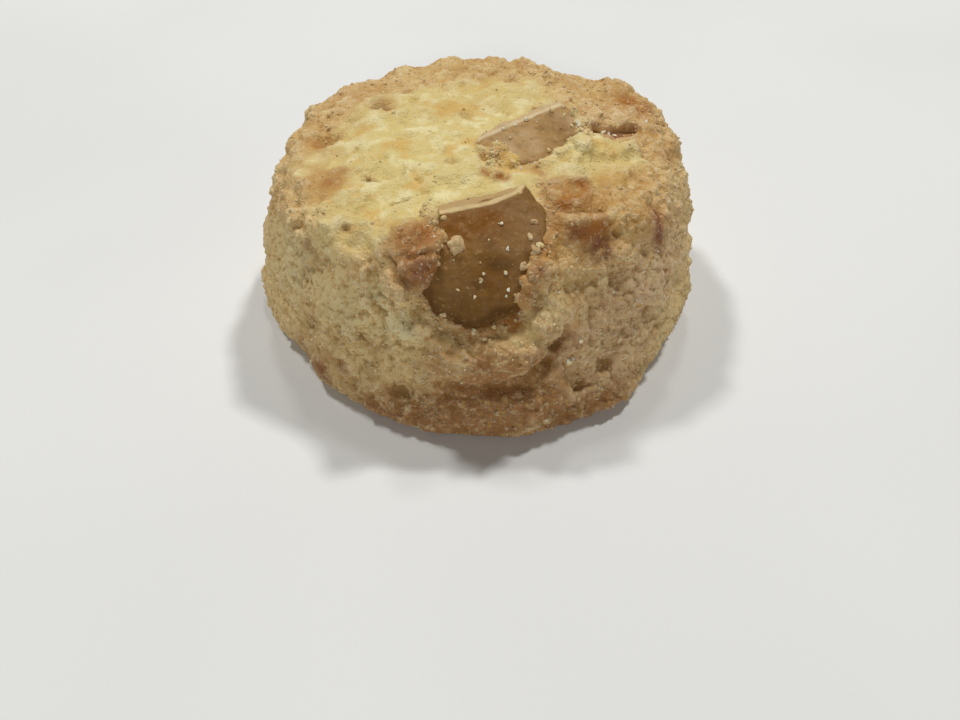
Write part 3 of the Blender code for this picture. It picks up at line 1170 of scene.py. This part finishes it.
# The small pits and the torn edge in the yellow crumb, and the cracks too sharp for the solid, as
# pushes along the surface normal
CARVED = (
    Line(((-8.9, -12.1, 21.9), (-7.5, -11.5, 21.9)), 0.28, -1.0),
    Spot((-13.3, -15.2, 20.9), 0.34, -0.4),
    Line(((12.6, 2.8, 21.7), (14.8, 2.3, 21.6), (17.4, 3.0, 21.4)), 0.55, -1.0),
    Line(((-10.6, -18.9, 20.0), (-10.9, -20.2, 17.5), (-10.1, -21.2, 15.4)), 0.3, -0.3),
    Line(
        ((-10.1, -21.2, 15.4), (-9.7, -22.3, 13.0), (-8.0, -23.0, 12.4), (-6.0, -23.6, 12.4)), 0.3, -0.3
    ),
    Line(((-9.0, -19.0, 20.4), (-7.8, -20.8, 19.2), (-6.0, -21.7, 18.4)), 0.35, -0.7),
    Line(((4.0, -24.7, 9.6), (5.0, -24.4, 10.2), (6.1, -23.9, 11.3), (7.6, -22.9, 12.8)), 0.4, -1.1),
    Spot((10.8, -23.2, 6.5), 0.9, -1.2),
    Spot((12.0, -22.8, 6.2), 0.5, -0.8),
    Spot((13.4, -21.5, 8.0), 0.9, -1.2),
    Spot((18.0, -16.8, 11.5), 0.6, -0.7),
    Spot((-12.1, -21.3, 11.7), 0.8, -0.5),
    Spot((7.5, -20.8, 19.4), 0.4, -0.6),
    Line(((-15.7, 1.5, 21.5), (-14.1, 3.1, 21.7), (-12.7, 4.1, 21.8), (-8.8, 6.0, 22.0)), 0.7, 0.4),
    Line(((7.4, -11.2, 21.7), (7.2, -9.6, 21.9), (8.6, -8.4, 21.9), (10.6, -8.5, 21.8)), 0.75, 0.5),
    Line(((10.6, -8.5, 21.8), (11.4, -9.9, 21.7), (10.4, -11.5, 21.6), (8.8, -11.9, 21.6)), 0.75, 0.45),
    Spot((9.1, -10.2, 21.8), 0.9, -0.4),
    Line(((7.4, -12.9, 21.6), (9.8, -13.2, 21.5), (12.4, -12.6, 21.4)), 0.5, -0.4),
    Line(((7.6, -14.0, 21.5), (9.8, -14.7, 21.4), (12.2, -14.2, 21.3)), 0.75, 0.5),
    Spot((10.0, -16.4, 21.0), 0.9, -0.4),
    Line(((-12.0, -7.6, 21.7), (-10.9, -7.8, 21.7)), 0.5, -0.6),
    Line(((-10.0, -7.0, 21.8), (-8.6, -6.6, 21.9)), 0.6, -0.45),
    Line(((-9.0, 0.6, 21.9), (-5.6, 2.2, 22.0)), 0.45, -0.3),
    Line(((-6.9, -19.4, 20.8), (-5.8, -19.2, 20.9), (-4.3, -19.1, 21.0)), 0.35, -0.6),
    Spot((-17.4, 0.7, 21.4), 1.3, -0.8),
    Spot((-11.6, 7.4, 21.8), 1.2, -0.7),
    Spot((-7.0, 14.2, 21.6), 0.5, -0.5),
    Spot((-9.0, 11.6, 21.7), 0.5, -0.4),
    Spot((-8.1, 9.0, 21.9), 0.6, -0.4),
    Spot((-2.5, 13.4, 21.7), 0.5, -0.4),
    Spot((-8.6, 4.0, 22.0), 0.5, -0.35),
    Spot((-1.7, 5.0, 22.2), 0.6, -0.6),
    Spot((-13.8, -1.9, 21.7), 0.4, -0.4),
    Spot((-10.4, -3.6, 21.9), 0.5, -0.4),
    Spot((-4.2, -2.7, 22.2), 0.45, -0.4),
    Spot((-1.4, -1.2, 22.3), 0.35, -0.4),
    Spot((-3.0, -5.1, 22.2), 0.6, -0.5),
    Spot((-6.4, -8.0, 22.0), 0.4, -0.5),
    Line(((-5.9, -9.9, 21.9), (-5.3, -9.6, 21.9)), 0.4, -0.4),
    Line(((-5.5, -7.0, 22.1), (-5.0, -6.2, 22.1)), 0.3, -0.45),
    Spot((-0.1, -7.6, 22.1), 0.35, -0.4),
    Spot((-1.7, -8.8, 22.0), 0.35, -0.4),
)


@dataclass
class Dough:
    """The biscuit's dough.

    Args:
        node: the CAD node it stands for.
        slot: the record's material slot; not used.
        finish: what it is made of.
        voxel: the mesh's spacing, in millimetres.
        clumps: how many clumps lie at random on the rim and the sides.
        pits: how many small pits the oven left.
        seed: the start of every random draw.
        swell: how far its soft swells stand out, in millimetres.
        clot: how far its clots of 2 mm stand out.
        crumb: how far its crumbs of 1 mm stand out.
        grain: how far its grains stand out.
        crack: how deep the cracks between clumps are.
        layer: how thick a torn layer of the yellow top is.
        creep: how far the dough crept over the fruit's edges.
        near: how far from the fruit the dough still took up syrup.
        gap: the widest gap between dough and fruit that the dough closes.
    """

    node: str = "shortbread"
    slot: str = "baked_dough"
    finish: BakedShortbread = field(default_factory=BakedShortbread)
    voxel: float = 0.285
    clumps: int = 180
    pits: int = 160
    seed: int = 11
    swell: float = 0.4
    clot: float = 0.48
    crumb: float = 0.28
    grain: float = 0.2
    crack: float = 0.35
    layer: float = 0.2
    creep: float = 0.75
    near: float = 1.6
    gap: float = 1.1

    def build(self, fruit: list[bpy.types.Object]) -> bpy.types.Object:
        """Turns the plain solid to crumbly dough that hugs its fruit.

        Args:
            fruit: the pieces of fruit set in it.

        Returns:
            The finished piece.
        """
        piece = copy_of_node(self.node, "shortbread_dough")
        self.add_clumps(piece, fruit)
        apply(piece, "REMESH", mode="VOXEL", voxel_size=self.voxel * MM, adaptivity=0.0)
        apply(piece, "SMOOTH", factor=0.5, iterations=3)
        self.thin_hidden(piece, fruit)
        ground = Ground((surface_of(piece),))
        near_fruit = self.nearness(piece, fruit)
        self.crumble(piece, ground, near_fruit)
        self.hug(piece, fruit)
        self.colour(piece, ground, near_fruit)
        hand_over(piece, self.finish.material(), self.node)
        return piece

    def add_clumps(self, piece: bpy.types.Object, fruit: list[bpy.types.Object]) -> None:
        """Sets clumps of dough along the fruit's edges and all over the crumbly rim and sides.

        Args:
            piece: the dough's mesh, which takes the clumps in.
            fruit: the pieces of fruit set in it.
        """
        draw = np.random.default_rng(self.seed + 1)
        ground = Ground((surface_of(piece), *(surface_of(chunk) for chunk in fruit)))
        settled = [(*ground.meet(clump.at), clump.size) for clump in CLUMPS]
        middles, normals, areas = faces_of(piece)
        rim = smooth_step(np.hypot(*middles[:, :2].T), 17.0, 21.0) * (normals[:, 2] > -0.3)
        height = smooth_step(middles[:, 2], 2.0, 6.0) * (1 + smooth_step(middles[:, 2], 18, 20))
        chances = areas * rim * height
        for face in draw.choice(len(middles), self.clumps, p=chances / chances.sum()):
            settled.append((middles[face], normals[face], 0.8 + 1.5 * draw.random() ** 2))
        parts = []
        for order, (middle, normal, size) in enumerate(settled):
            shape, triangles = lumpy_ball(self.seed + 1.7 * order, 3)
            shape = shape * size * draw.uniform(0.8, 1.2, 3)
            flattened = shape - np.outer(shape @ normal, normal) * 0.35
            parts.append((flattened + middle - 0.17 * size * normal, triangles))
        clumps = mesh_of("clumps", parts)
        make_active(piece)
        clumps.select_set(True)
        bpy.ops.object.join()

    def thin_hidden(self, piece: bpy.types.Object, fruit: list[bpy.types.Object]) -> None:
        """Thins the flat underside and the sockets' walls, where no crumb shows.

        Args:
            piece: the dough's mesh.
            fruit: the pieces of fruit set in it.
        """
        middles, normals, _ = faces_of(piece)
        thin_faces(piece, (normals[:, 2] < -0.98) & (middles[:, 2] < 0.3), 3, 0.1)
        middles, normals, _ = faces_of(piece)
        trees = [surface_of(chunk) for chunk in fruit]
        facing = np.zeros(len(middles), bool)
        for index in np.flatnonzero((middles[:, 2] > 10.0) & (np.hypot(*middles[:, :2].T) < 26.0)):
            place = Vector((middles[index] + ROUND_MIDDLE) * MM)
            way = Vector(normals[index])
            facing[index] = any(tree.ray_cast(place, way, 1.2 * MM)[0] for tree in trees)
        thin_faces(piece, facing, 4, 0.12)

    def nearness(self, piece: bpy.types.Object, fruit: list[bpy.types.Object]) -> np.ndarray:
        """Gives how near each vertex is to the fruit, from 0 where it is too far to 1 on the fruit."""
        points, shares = points_of(piece), np.zeros(len(piece.data.vertices))
        for chunk in fruit:
            tree = surface_of(chunk)
            for index in near_box(chunk, points, self.near):
                apart = tree.find_nearest(Vector((points[index] + ROUND_MIDDLE) * MM))[3]
                shares[index] = max(shares[index], 1 - apart / MM / self.near)
        return shares

    def crumble(self, piece: bpy.types.Object, ground: Ground, near_fruit: np.ndarray) -> None:
        """Gives the smooth dough its lumps, grains, flakes, pits and cracks.

        Args:
            piece: the dough's mesh.
            ground: the smooth dough's surface.
            near_fruit: how near each vertex is to the fruit.
        """
        points, normals = points_of(piece), normals_of(piece)
        lift = smooth_step(points[:, 2], 0.05, 1.6)
        yellow = self.yellow_share(points, ground)
        loose = bent(points, 1.3, 0.4, 2.2)
        soft = self.swell * sample(points, 3.6, 1.9, Pattern.SWELL)
        clots = self.clot * (sample(points, 2.1, 5.9, Pattern.CLOT) - CLOT_MIDDLE)
        # It broke rougher on the right and in front than on the left
        right = smooth_step(points[:, 0], -14.0, 10.0)
        patches = sample(points, 6.5, 3.3, Pattern.SWELL) + 0.3 * right
        crumbly = 0.6 + 0.7 * smooth_step(patches, -0.2, 0.5)
        # The sides, which the hand didn't press, kept coarser crumbs
        coarse = 1 + 0.5 * smooth_step(-points[:, 2], -19.5, -16.5)
        small = self.crumb * coarse * (sample(loose, 0.95, 8.8, Pattern.CLOT) - CLOT_MIDDLE)
        grains = self.grain * (sample(loose, 1.1, 7.3, Pattern.GRAIN) - 0.5)
        split = smooth_step(sample(points, 5.0, 4.4, Pattern.SWELL), 0.0, 0.3)
        cracks = self.crack * split * sample(bent(points, 2.0, 0.8, 5.2), 4.4, 1.7, Pattern.CREASE)
        rough = soft + clots + (small + grains) * crumbly - cracks
        # Dough crept over the fruit's edges here and there as it baked
        tongues = np.clip(0.3 + 1.3 * sample(points, 1.7, 21.0, Pattern.SWELL), 0, 1)
        crept = self.creep * smooth_step(near_fruit, 0.15, 0.8) * tongues
        carved = total(CARVED, points, ground)
        fine = rough * (1 - 0.75 * yellow) + self.flakes(points) * yellow
        # Syrup and melted butter evened out what they soaked
        soaked = np.clip(total(CARAMEL_PLACES, points, ground) + 0.8 * near_fruit, 0.0, 1.0)
        fine = fine * (1 - 0.75 * soaked) + self.pitting(points, normals, yellow) + carved + crept
        move_points(piece, points + normals * (fine * lift)[:, None])

    def yellow_share(self, points: np.ndarray, ground: Ground) -> np.ndarray:
        """Gives how far each point lies in the pale yellow crumb, from 0 to 1."""
        wave = 1 + 0.6 * sample(points, 2.6, 6.1, Pattern.SWELL)
        upper = np.maximum(smooth_step(points[:, 2], 17.5, 20.6), 0.6)
        return smooth_step(total(YELLOW_PLACES, points, ground) * wave, 0.28, 0.72) * upper

    def flakes(self, points: np.ndarray) -> np.ndarray:
        """Reads the relief of the torn top, soft layers drawn out along its streaks, in millimetres."""
        torn = bent(points, 1.1, 0.5, 11.2)
        along = torn[:, 0] * math.cos(STREAK_ANGLE) + torn[:, 1] * math.sin(STREAK_ANGLE)
        across = torn[:, 1] * math.cos(STREAK_ANGLE) - torn[:, 0] * math.sin(STREAK_ANGLE)
        drawn = np.stack([along / 2.0, across, torn[:, 2]], axis=1)
        levels = 3.4 * sample(drawn, 3.2, 12.5, Pattern.SWELL)
        layers = np.floor(levels) + smooth_step(levels - np.floor(levels), 0.0, 0.45)
        crumbs = sample(points, 1.3, 13.5, Pattern.CLOT) - CLOT_MIDDLE
        return self.layer * layers + 0.16 * crumbs

    def pitting(self, points: np.ndarray, normals: np.ndarray, yellow: np.ndarray) -> np.ndarray:
        """Sinks small pits and short tears here and there, fewer in the yellow crumb.

        Args:
            points: the vertices.
            normals: their normals.
            yellow: how far each lies in the yellow crumb.

        Returns:
            How far each vertex sinks.
        """
        draw = np.random.default_rng(self.seed)
        right = smooth_step(points[:, 0], -16.0, 6.0)
        open_side = (normals[:, 2] > -0.4) & (points[:, 2] > 1.0)
        chances = open_side * (1 - 0.8 * yellow) * (0.4 + 0.6 * right)
        chosen = draw.choice(len(points), self.pits, replace=False, p=chances / chances.sum())
        middles = points[chosen]
        radii = 0.24 + 0.4 * draw.random(self.pits) ** 2
        depths = radii * draw.uniform(0.6, 1.2, self.pits)
        ways = draw.normal(size=(self.pits, 3))
        ways /= np.linalg.norm(ways, axis=1)[:, None]
        stretches = 1 + 1.4 * draw.random(self.pits) ** 2
        sunk = np.zeros(len(points))
        for middle, radius, depth, way, stretch_by in zip(middles, radii, depths, ways, stretches):
            near = np.flatnonzero(np.abs(points - middle).max(axis=1) < 2.2 * radius * stretch_by)
            offset = points[near] - middle
            along = offset @ way
            rest = (offset**2).sum(axis=1) - along**2
            apart = ((along / stretch_by) ** 2 + rest) / radius**2
            sunk[near] = np.minimum(sunk[near], -depth * np.exp(-apart))
        return sunk

    def hug(self, piece: bpy.types.Object, fruit: list[bpy.types.Object]) -> None:
        """Closes the gap that the solids keep between the dough and its fruit.

        Args:
            piece: the dough's mesh.
            fruit: the pieces of fruit set in it.
        """
        points, normals = points_of(piece), normals_of(piece)
        for chunk in fruit:
            tree = surface_of(chunk)
            for index in near_box(chunk, points, self.gap):
                place = Vector((points[index] + ROUND_MIDDLE) * MM)
                nearest, outward, _, apart = tree.find_nearest(place)
                gap, way = apart / MM, (nearest - place).normalized()
                facing = way.dot(Vector(normals[index]))
                if gap < self.gap and facing > 0 and (place - nearest).dot(outward) > 0:
                    fade = (1 - gap / self.gap) ** 0.6 * min(1.0, 2.5 * facing)
                    points[index] += np.array(way) * min(gap + 0.15, 0.8) * fade
        move_points(piece, points)

    def colour(self, piece: bpy.types.Object, ground: Ground, near_fruit: np.ndarray) -> None:
        """Marks the dough's colours, with painted shade in its hollows and a painted highlight on its
        crests.

        Args:
            piece: the dough's mesh.
            ground: the smooth dough's surface.
            near_fruit: how near each vertex is to the fruit.
        """
        points = points_of(piece)
        wave = 1 + 0.6 * sample(points, 2.2, 15.5, Pattern.SWELL)
        across = np.linalg.norm(points[:, :2], axis=1)
        rim = np.exp(-(((points[:, 2] - 20.4) / 1.5) ** 2)) * smooth_step(across, 15.0, 19.0)
        foot = 0.3 * np.exp(-((points[:, 2] / 2.6) ** 2))
        golden = 0.75 * total(GOLDEN_PLACES, points, ground) + 0.3 * rim
        syrup = 0.6 * near_fruit**2 * smooth_step(-points[:, 2], -21.5, -18.5)
        caramel = total(CARAMEL_PLACES, points, ground)
        tanned = (total(TANNED_PLACES, points, ground) + foot) * wave
        yellow = self.yellow_share(points, ground)
        depth = depth_in(piece, 18)
        browned = np.clip(tanned + caramel, 0.0, 1.0)
        marks = {
            "yellow": yellow * 0.95,
            "golden": golden * wave,
            "caramel": caramel * wave + syrup,
            "scorched": total(SCORCHED_PLACES, points, ground) * wave,
            "tanned": tanned,
            "pale": total(PALE_PLACES, points, ground) * wave,
            "rosy": total(ROSY_PLACES, points, ground) * wave,
            # Painted shade in the hollows, less in the yellow crumb
            "painted_shade_and_stain": smooth_step(depth, 0.04, 0.26) * (0.6 - 0.3 * yellow),
            # Painted highlight on the crests, away from the fruit and the browned places
            "crest_highlight": smooth_step(-depth, 0.02, 0.2) * (1 - near_fruit) * (1 - 0.7 * browned),
            "near_fruit": near_fruit,
        }
        for name, share in marks.items():
            write_mark(piece, name, share)


@dataclass(frozen=True)
class Seat:
    """Where one scattered grain lies.

    Args:
        at: the place on the surface, in millimetres from the round's own axis.
        normal: the surface's normal there.
        size: the grain's size, in millimetres.
        shapes: the shapes that it has one of.
        under: the vertex of the carrying piece that lies under it.
    """

    at: np.ndarray
    normal: np.ndarray
    size: float
    shapes: list[tuple[np.ndarray, np.ndarray]]
    under: int


@dataclass
class Scatter:
    """Many small grains of one kind, lying on the biscuit.

    Args:
        name: the piece's name.
        finish: the material they share.
        count: how many lie at random.
        smallest: the smallest one's size, in millimetres.
        largest: the largest one's size.
        sunk: the share of a grain that is pressed in.
        seed: the start of the random draws.
        placed: the grains that the eye picks out.
        fruit_pull: how much more of them lie along the fruit's edge.
        subdivisions: how finely those that lie at random are made.
        kinds: how many shapes the grains have.
        faceted: whether they keep flat faces, as crystals do.
        on_top: how many of them lie on the top, against the sides.
        slot: the record's material slot; not used.
    """

    name: str
    finish: bpy.types.Material
    count: int
    smallest: float
    largest: float
    sunk: float
    seed: int
    placed: tuple[Grain, ...] = ()
    fruit_pull: float = 3.0
    subdivisions: int = 1
    kinds: int = 6
    faceted: bool = False
    on_top: float = 1.0
    slot: str = "baked_dough"

    def weight(self, base: bpy.types.Object) -> np.ndarray:
        """Gives how likely each face of a piece is to carry a grain.

        Args:
            base: the piece.

        Returns:
            One weight for each face.
        """
        middles, normals, areas = faces_of(base)
        shown = (middles[:, 2] > 0.5) & (normals[:, 2] > -0.35)
        patches = 0.3 + smooth_step(sample(middles, 4.0, self.seed, Pattern.SWELL), -0.1, 0.5)
        first = np.array([face.vertices[0] for face in base.data.polygons])
        outward = middles * (1, 1, 1.3) - (0, 0, 10)
        open_air = (outward * normals).sum(axis=1) / np.linalg.norm(outward, axis=1) > 0.35
        beside = smooth_step(read_mark(base, "near_fruit")[first], 0.25, 0.6)
        patches = patches * (1 - (1 - self.on_top) * smooth_step(normals[:, 2], 0.3, 0.8))
        patches = patches * (1 - 0.8 * read_mark(base, "yellow")[first])
        return areas * shown * (patches + self.fruit_pull * beside * open_air)

    def build(self, base: bpy.types.Object, fruit: list[bpy.types.Object]) -> bpy.types.Object:
        """Lays the grains on the biscuit.

        Args:
            base: the dough, which carries the grains that lie at random.
            fruit: the fruit, which carries some of the placed ones.

        Returns:
            The finished piece.
        """
        draw = np.random.default_rng(self.seed)
        seats = self.seats(base, fruit, draw)
        parts = []
        for order, seat in enumerate(seats):
            shape, faces = seat.shapes[order % self.kinds]
            turn = np.array(Vector(draw.normal(size=3)).to_track_quat("Z", "Y").to_matrix())
            stretched = shape @ np.diag(draw.uniform(0.65, 1.2, 3)) @ turn * seat.size
            parts.append((stretched + seat.at + seat.normal * seat.size * (0.5 - self.sunk), faces))
        piece = mesh_of(self.name, parts)
        counts, under = [len(vertices) for vertices, _ in parts], [seat.under for seat in seats]
        for name in DOUGH_MARKS:
            write_mark(piece, name, np.repeat(read_mark(base, name)[under], counts))
        # Painted highlight: every loose crumb is painted as pale as the dough's crests
        write_mark(piece, "crest_highlight", np.full(len(piece.data.vertices), CRUMB_HIGHLIGHT))
        hand_over(piece, self.finish, smooth=not self.faceted)
        return piece

    def seats(
        self, base: bpy.types.Object, fruit: list[bpy.types.Object], draw: np.random.Generator
    ) -> list[Seat]:
        """Finds a place for every grain, first for those that lie at random.

        Args:
            base: the piece that carries them.
            fruit: the fruit, which carries some of the placed ones.
            draw: the random draws.

        Returns:
            Where each grain lies.
        """
        middles, normals, _ = faces_of(base)
        weights = self.weight(base)
        small, large = (
            [lumpy_ball(self.seed + kind, fineness) for kind in range(self.kinds)]
            for fineness in (self.subdivisions, 3)
        )
        seats = []
        for face in draw.choice(len(middles), self.count, p=weights / weights.sum()):
            size = self.smallest + (self.largest - self.smallest) * draw.random() ** 2.5
            under = base.data.polygons[face].vertices[0]
            seats.append(Seat(middles[face], normals[face], size, small, under))
        tree = surface_of(base)
        ground = Ground((tree, *(surface_of(chunk) for chunk in fruit)))
        for grain in self.placed:
            place, normal = ground.meet(grain.at)
            face = tree.find_nearest(Vector((place + ROUND_MIDDLE) * MM))[2]
            under = base.data.polygons[face].vertices[0]
            seats.append(Seat(place, normal, grain.size, large, under))
        return seats


@dataclass(frozen=True)
class Lamp:
    """One square soft lamp that points at the biscuit.

    Args:
        name: the lamp's name.
        place: where it hangs, in metres.
        power: its power, in watts.
        size: how wide it is, in metres.
    """

    name: str
    place: tuple[float, float, float]
    power: float
    size: float = 0.11

    def hang(self) -> None:
        """Hangs the lamp."""
        data = bpy.data.lights.new(self.name, "AREA")
        data.size = self.size
        data.energy = self.power
        lamp = bpy.data.objects.new(self.name, data)
        lamp.location = self.place
        lamp.rotation_euler = (-Vector(self.place)).to_track_quat("-Z", "Y").to_euler()
        bpy.context.scene.collection.objects.link(lamp)


@dataclass(frozen=True)
class Studio:
    """The paper floor, the soft lamps and the camera at the photograph's angle.

    Args:
        lamps: the lamps.
        floor_size: how wide the paper is, in metres.
        camera_pitch: how far the camera looks down, in degrees.
        lens: its focal length on a 36 mm wide sensor, in millimetres.
        glow: how strong the room's own light is.
    """

    lamps: tuple[Lamp, ...]
    floor_size: float = 1.6
    camera_pitch: float = 46.2
    lens: float = 29.0
    glow: float = 0.065

    def lay_floor(self) -> None:
        """Lays the paper."""
        deselect_all()
        bpy.ops.mesh.primitive_plane_add(size=self.floor_size, location=(0, 0, 0))
        floor = bpy.context.object
        floor.name = "paper_floor"
        floor.data.materials.append(WhitePaper().material())

    def light(self) -> None:
        """Hangs the lamps and sets the room's soft glow."""
        for lamp in self.lamps:
            lamp.hang()
        world = bpy.data.worlds.new("room")
        world.use_nodes = True
        glow = world.node_tree.nodes["Background"]
        glow.inputs["Color"].default_value = (1.0, 0.99, 0.97, 1.0)
        glow.inputs["Strength"].default_value = self.glow
        bpy.context.scene.world = world

    def set_camera(self) -> None:
        """Stands the camera where the photograph was taken from."""
        data = bpy.data.cameras.new("camera")
        data.lens = self.lens
        data.sensor_width = 36.0
        data.clip_start = 0.005
        camera = bpy.data.objects.new("camera", data)
        camera.location = (VIEWPOINT + ROUND_MIDDLE) * MM
        camera.rotation_euler = (math.radians(90 - self.camera_pitch), 0.0, 0.0)
        bpy.context.scene.collection.objects.link(camera)
        bpy.context.scene.camera = camera
        bpy.context.scene.view_settings.view_transform = "Standard"


LAMPS = (
    Lamp("lamp_left", (-0.43, 0.34, 0.96), 4.3),
    Lamp("lamp_right", (0.38, 0.36, 1.0), 5.4),
    Lamp("lamp_back", (0.0, 0.48, 1.0), 1.4),
    Lamp("lamp_front", (-0.04, -0.85, 0.42), 1.9),
)

FRONT_FRUIT = FruitPiece(
    node="candied_chunk_front",
    slot="candied_fruit_front",
    finish=CandiedFruit(
        name="candied_fruit_amber",
        flesh="#876230",
        deep="#664622",
        amber="#82531D",
        film="#8C6A45",
        cut="#BE9E6C",
        cut_rim="#DEC490",
    ),
    cut_face=(Edge((-4.9, -14.8), (3.9, -12.1)), Edge((3.9, -12.1), (4.6, -10.4))),
    cut_rim=Line(
        ((-4.9, -14.8, 22.3), (0.9, -13.7, 22.9), (3.8, -12.2, 23.2), (4.2, -11.0, 23.3)), 0.36, 1.0
    ),
    amber=(
        Line(((-3.6, -16.6, 21.6), (1.0, -15.4, 22.4)), 1.9, 0.9),
        Spot((1.2, -21.2, 20.3), 1.6, 0.5),
        Spot((1.6, -22.2, 19.0), 1.2, 0.4),
    ),
    film=(
        Line(((3.2, -13.2, 22.0), (4.8, -14.4, 21.6), (5.2, -16.8, 21.4)), 1.5, 0.7),
        Line(((3.4, -18.6, 21.2), (3.4, -21.6, 20.0)), 1.2, 0.5),
        Spot((-2.2, -21.6, 19.8), 2.2, 0.25),
    ),
    stains=(
        Line(
            ((-5.0, -22.0, 18.4), (-3.8, -23.0, 15.8), (-1.7, -23.6, 14.8), (1.9, -22.9, 16.8)), 0.6, 0.9
        ),
        Line(
            ((1.9, -22.9, 16.8), (3.6, -22.6, 17.3), (4.4, -21.9, 19.2), (5.6, -19.6, 20.8)), 0.7, 0.9
        ),
        Spot((-4.5, -18.8, 20.5), 1.0, 0.8),
        Line(((0.8, -17.6, 21.4), (1.4, -19.4, 20.9), (1.6, -20.6, 20.2)), 0.7, 0.5),
        Spot((5.4, -18.6, 21.0), 0.9, 0.6),
    ),
)

BACK_FRUIT = FruitPiece(
    node="candied_chunk_back",
    slot="candied_fruit_back",
    finish=CandiedFruit(
        name="candied_fruit_pale",
        flesh="#AE8A57",
        deep="#8A663A",
        amber="#A87A3E",
        film="#C4A67E",
        cut="#CDB085",
        cut_rim="#DFCCA4",
        roughness=0.52,
    ),
    fibre_height=0.2,
    cut_face=(Edge((-0.5, -1.7), (9.6, 5.0)),),
    cut_rim=Line(((-0.4, -1.6, 22.7), (2.2, -0.2, 23.2), (9.2, 4.9, 23.5)), 0.4, 0.8),
    amber=(Spot((1.8, -3.8, 22.0), 1.9, 0.9),),
    film=(
        Line(((2.6, -1.6, 22.3), (3.6, -4.0, 22.0)), 1.2, 0.8),
        Line(((5.2, 0.4, 22.4), (6.0, -2.4, 22.1)), 1.0, 0.6),
        Line(((9.6, 4.2, 22.4), (10.8, 2.0, 22.2)), 0.9, 0.8),
    ),
    stains=(
        Line(((0.2, -4.4, 21.9), (3.6, -5.7, 21.7), (7.0, -4.7, 21.8)), 0.7, 0.9),
        Line(((8.0, -3.0, 22.1), (9.3, -1.9, 22.0), (10.1, -1.0, 22.0)), 0.8, 0.7),
        Spot((9.0, 1.8, 22.4), 1.8, 0.5),
    ),
)

# Crumbs that lie on the fruit and along its edges
PLACED_CRUMBS = (
    Grain((-2.2, -18.5, 21.3), 1.6),
    Grain((5.2, -18.9, 21.0), 0.9),
    Grain((4.8, -17.0, 21.3), 0.7),
    Grain((5.3, -14.9, 21.5), 0.8),
    Grain((-3.6, -22.6, 16.0), 0.8),
    Grain((-1.9, -23.2, 15.2), 0.8),
    Grain((0.1, -21.8, 19.8), 0.6),
    Grain((4.2, -20.4, 20.4), 0.8),
    Grain((3.4, -22.2, 18.2), 0.7),
    Grain((-3.6, -15.0, 21.9), 0.8),
    Grain((4.0, -11.2, 22.4), 0.6),
    Grain((1.6, -3.4, 22.2), 0.9),
    Grain((3.6, -5.2, 22.2), 0.9),
    Grain((7.4, -2.8, 22.2), 0.7),
    Grain((10.4, 2.2, 22.2), 0.8),
    Grain((9.8, 4.8, 22.2), 0.45),
)

# Sugar crystals that catch the light
PLACED_SUGAR = (
    Grain((5.7, -18.3, 21.2), 0.83),
    Grain((2.1, -15.4, 21.6), 0.42),
    Grain((2.6, -18.9, 21.2), 0.38),
    Grain((2.4, -21.2, 20.3), 0.41),
    Grain((2.7, -22.2, 19.0), 0.36),
    Grain((2.5, -22.4, 18.4), 0.28),
    Grain((0.1, -21.8, 19.8), 0.45),
    Grain((0.3, -21.3, 20.2), 0.38),
    Grain((-0.5, -22.6, 18.5), 0.38),
    Grain((-2.1, -22.2, 19.0), 0.26),
    Grain((-0.5, -23.6, 14.9), 0.6),
    Grain((0.5, -23.8, 14.1), 0.45),
    Grain((1.0, -23.9, 14.0), 0.41),
    Grain((1.3, -23.4, 15.3), 0.38),
    Grain((-7.5, -22.0, 16.1), 0.45),
    Grain((10.1, -22.2, 12.3), 0.52),
    Grain((9.0, -23.2, 10.2), 0.75),
    Grain((9.4, -23.0, 10.4), 0.45),
    Grain((13.9, 1.6, 21.7), 0.6),
    Grain((14.6, 1.8, 21.6), 0.52),
    Grain((15.2, 1.2, 21.6), 0.45),
    Grain((15.2, 3.7, 21.6), 0.68),
    Grain((15.9, 3.6, 21.5), 0.45),
    Grain((2.6, 1.5, 22.3), 0.38),
    Grain((4.0, 2.5, 22.2), 0.3),
    Grain((5.3, 3.7, 22.2), 0.42),
    Grain((8.3, 6.1, 22.0), 0.42),
    Grain((9.8, 7.1, 21.9), 0.36),
    Grain((11.2, 3.3, 21.9), 0.55),
    Grain((11.4, 1.8, 21.9), 0.6),
    Grain((6.4, 2.4, 22.6), 0.3),
)


def main() -> None:
    """Builds every piece in order, then the studio."""
    logging.basicConfig(level=logging.INFO, format="%(message)s")
    fruit = [FRONT_FRUIT.build(), BACK_FRUIT.build()]
    dough = Dough().build(fruit)
    crumb = dough.data.materials[0]
    sugar = SugarCrystal().material()
    syrupy = SugarCrystal("syrup_stained_sugar", "#D4B98C", "#AA8450").material()
    Scatter(
        name="stuck_crumbs",
        finish=crumb,
        count=6500,
        smallest=0.18,
        largest=0.6,
        sunk=0.55,
        seed=21,
        fruit_pull=0.6,
        on_top=0.35,
    ).build(dough, fruit)
    Scatter(
        name="edge_crumbs",
        finish=crumb,
        count=60,
        smallest=0.25,
        largest=0.75,
        sunk=0.65,
        seed=23,
        placed=PLACED_CRUMBS,
        fruit_pull=60.0,
        subdivisions=2,
    ).build(dough, fruit)
    Scatter(
        name="sugar_grains",
        finish=sugar,
        count=900,
        smallest=0.14,
        largest=0.36,
        sunk=0.4,
        seed=22,
        placed=PLACED_SUGAR,
        faceted=True,
        on_top=0.3,
    ).build(dough, fruit)
    for chunk, count in zip(fruit, (60, 50)):
        Scatter(
            name=chunk.name.replace("candied_fruit", "fruit_sugar"),
            finish=syrupy,
            count=count,
            smallest=0.1,
            largest=0.32,
            sunk=0.4,
            seed=24,
            faceted=True,
        ).build(chunk, [])
    studio = Studio(LAMPS)
    studio.lay_floor()
    studio.light()
    studio.set_camera()


if __name__ == "__main__":
    main()
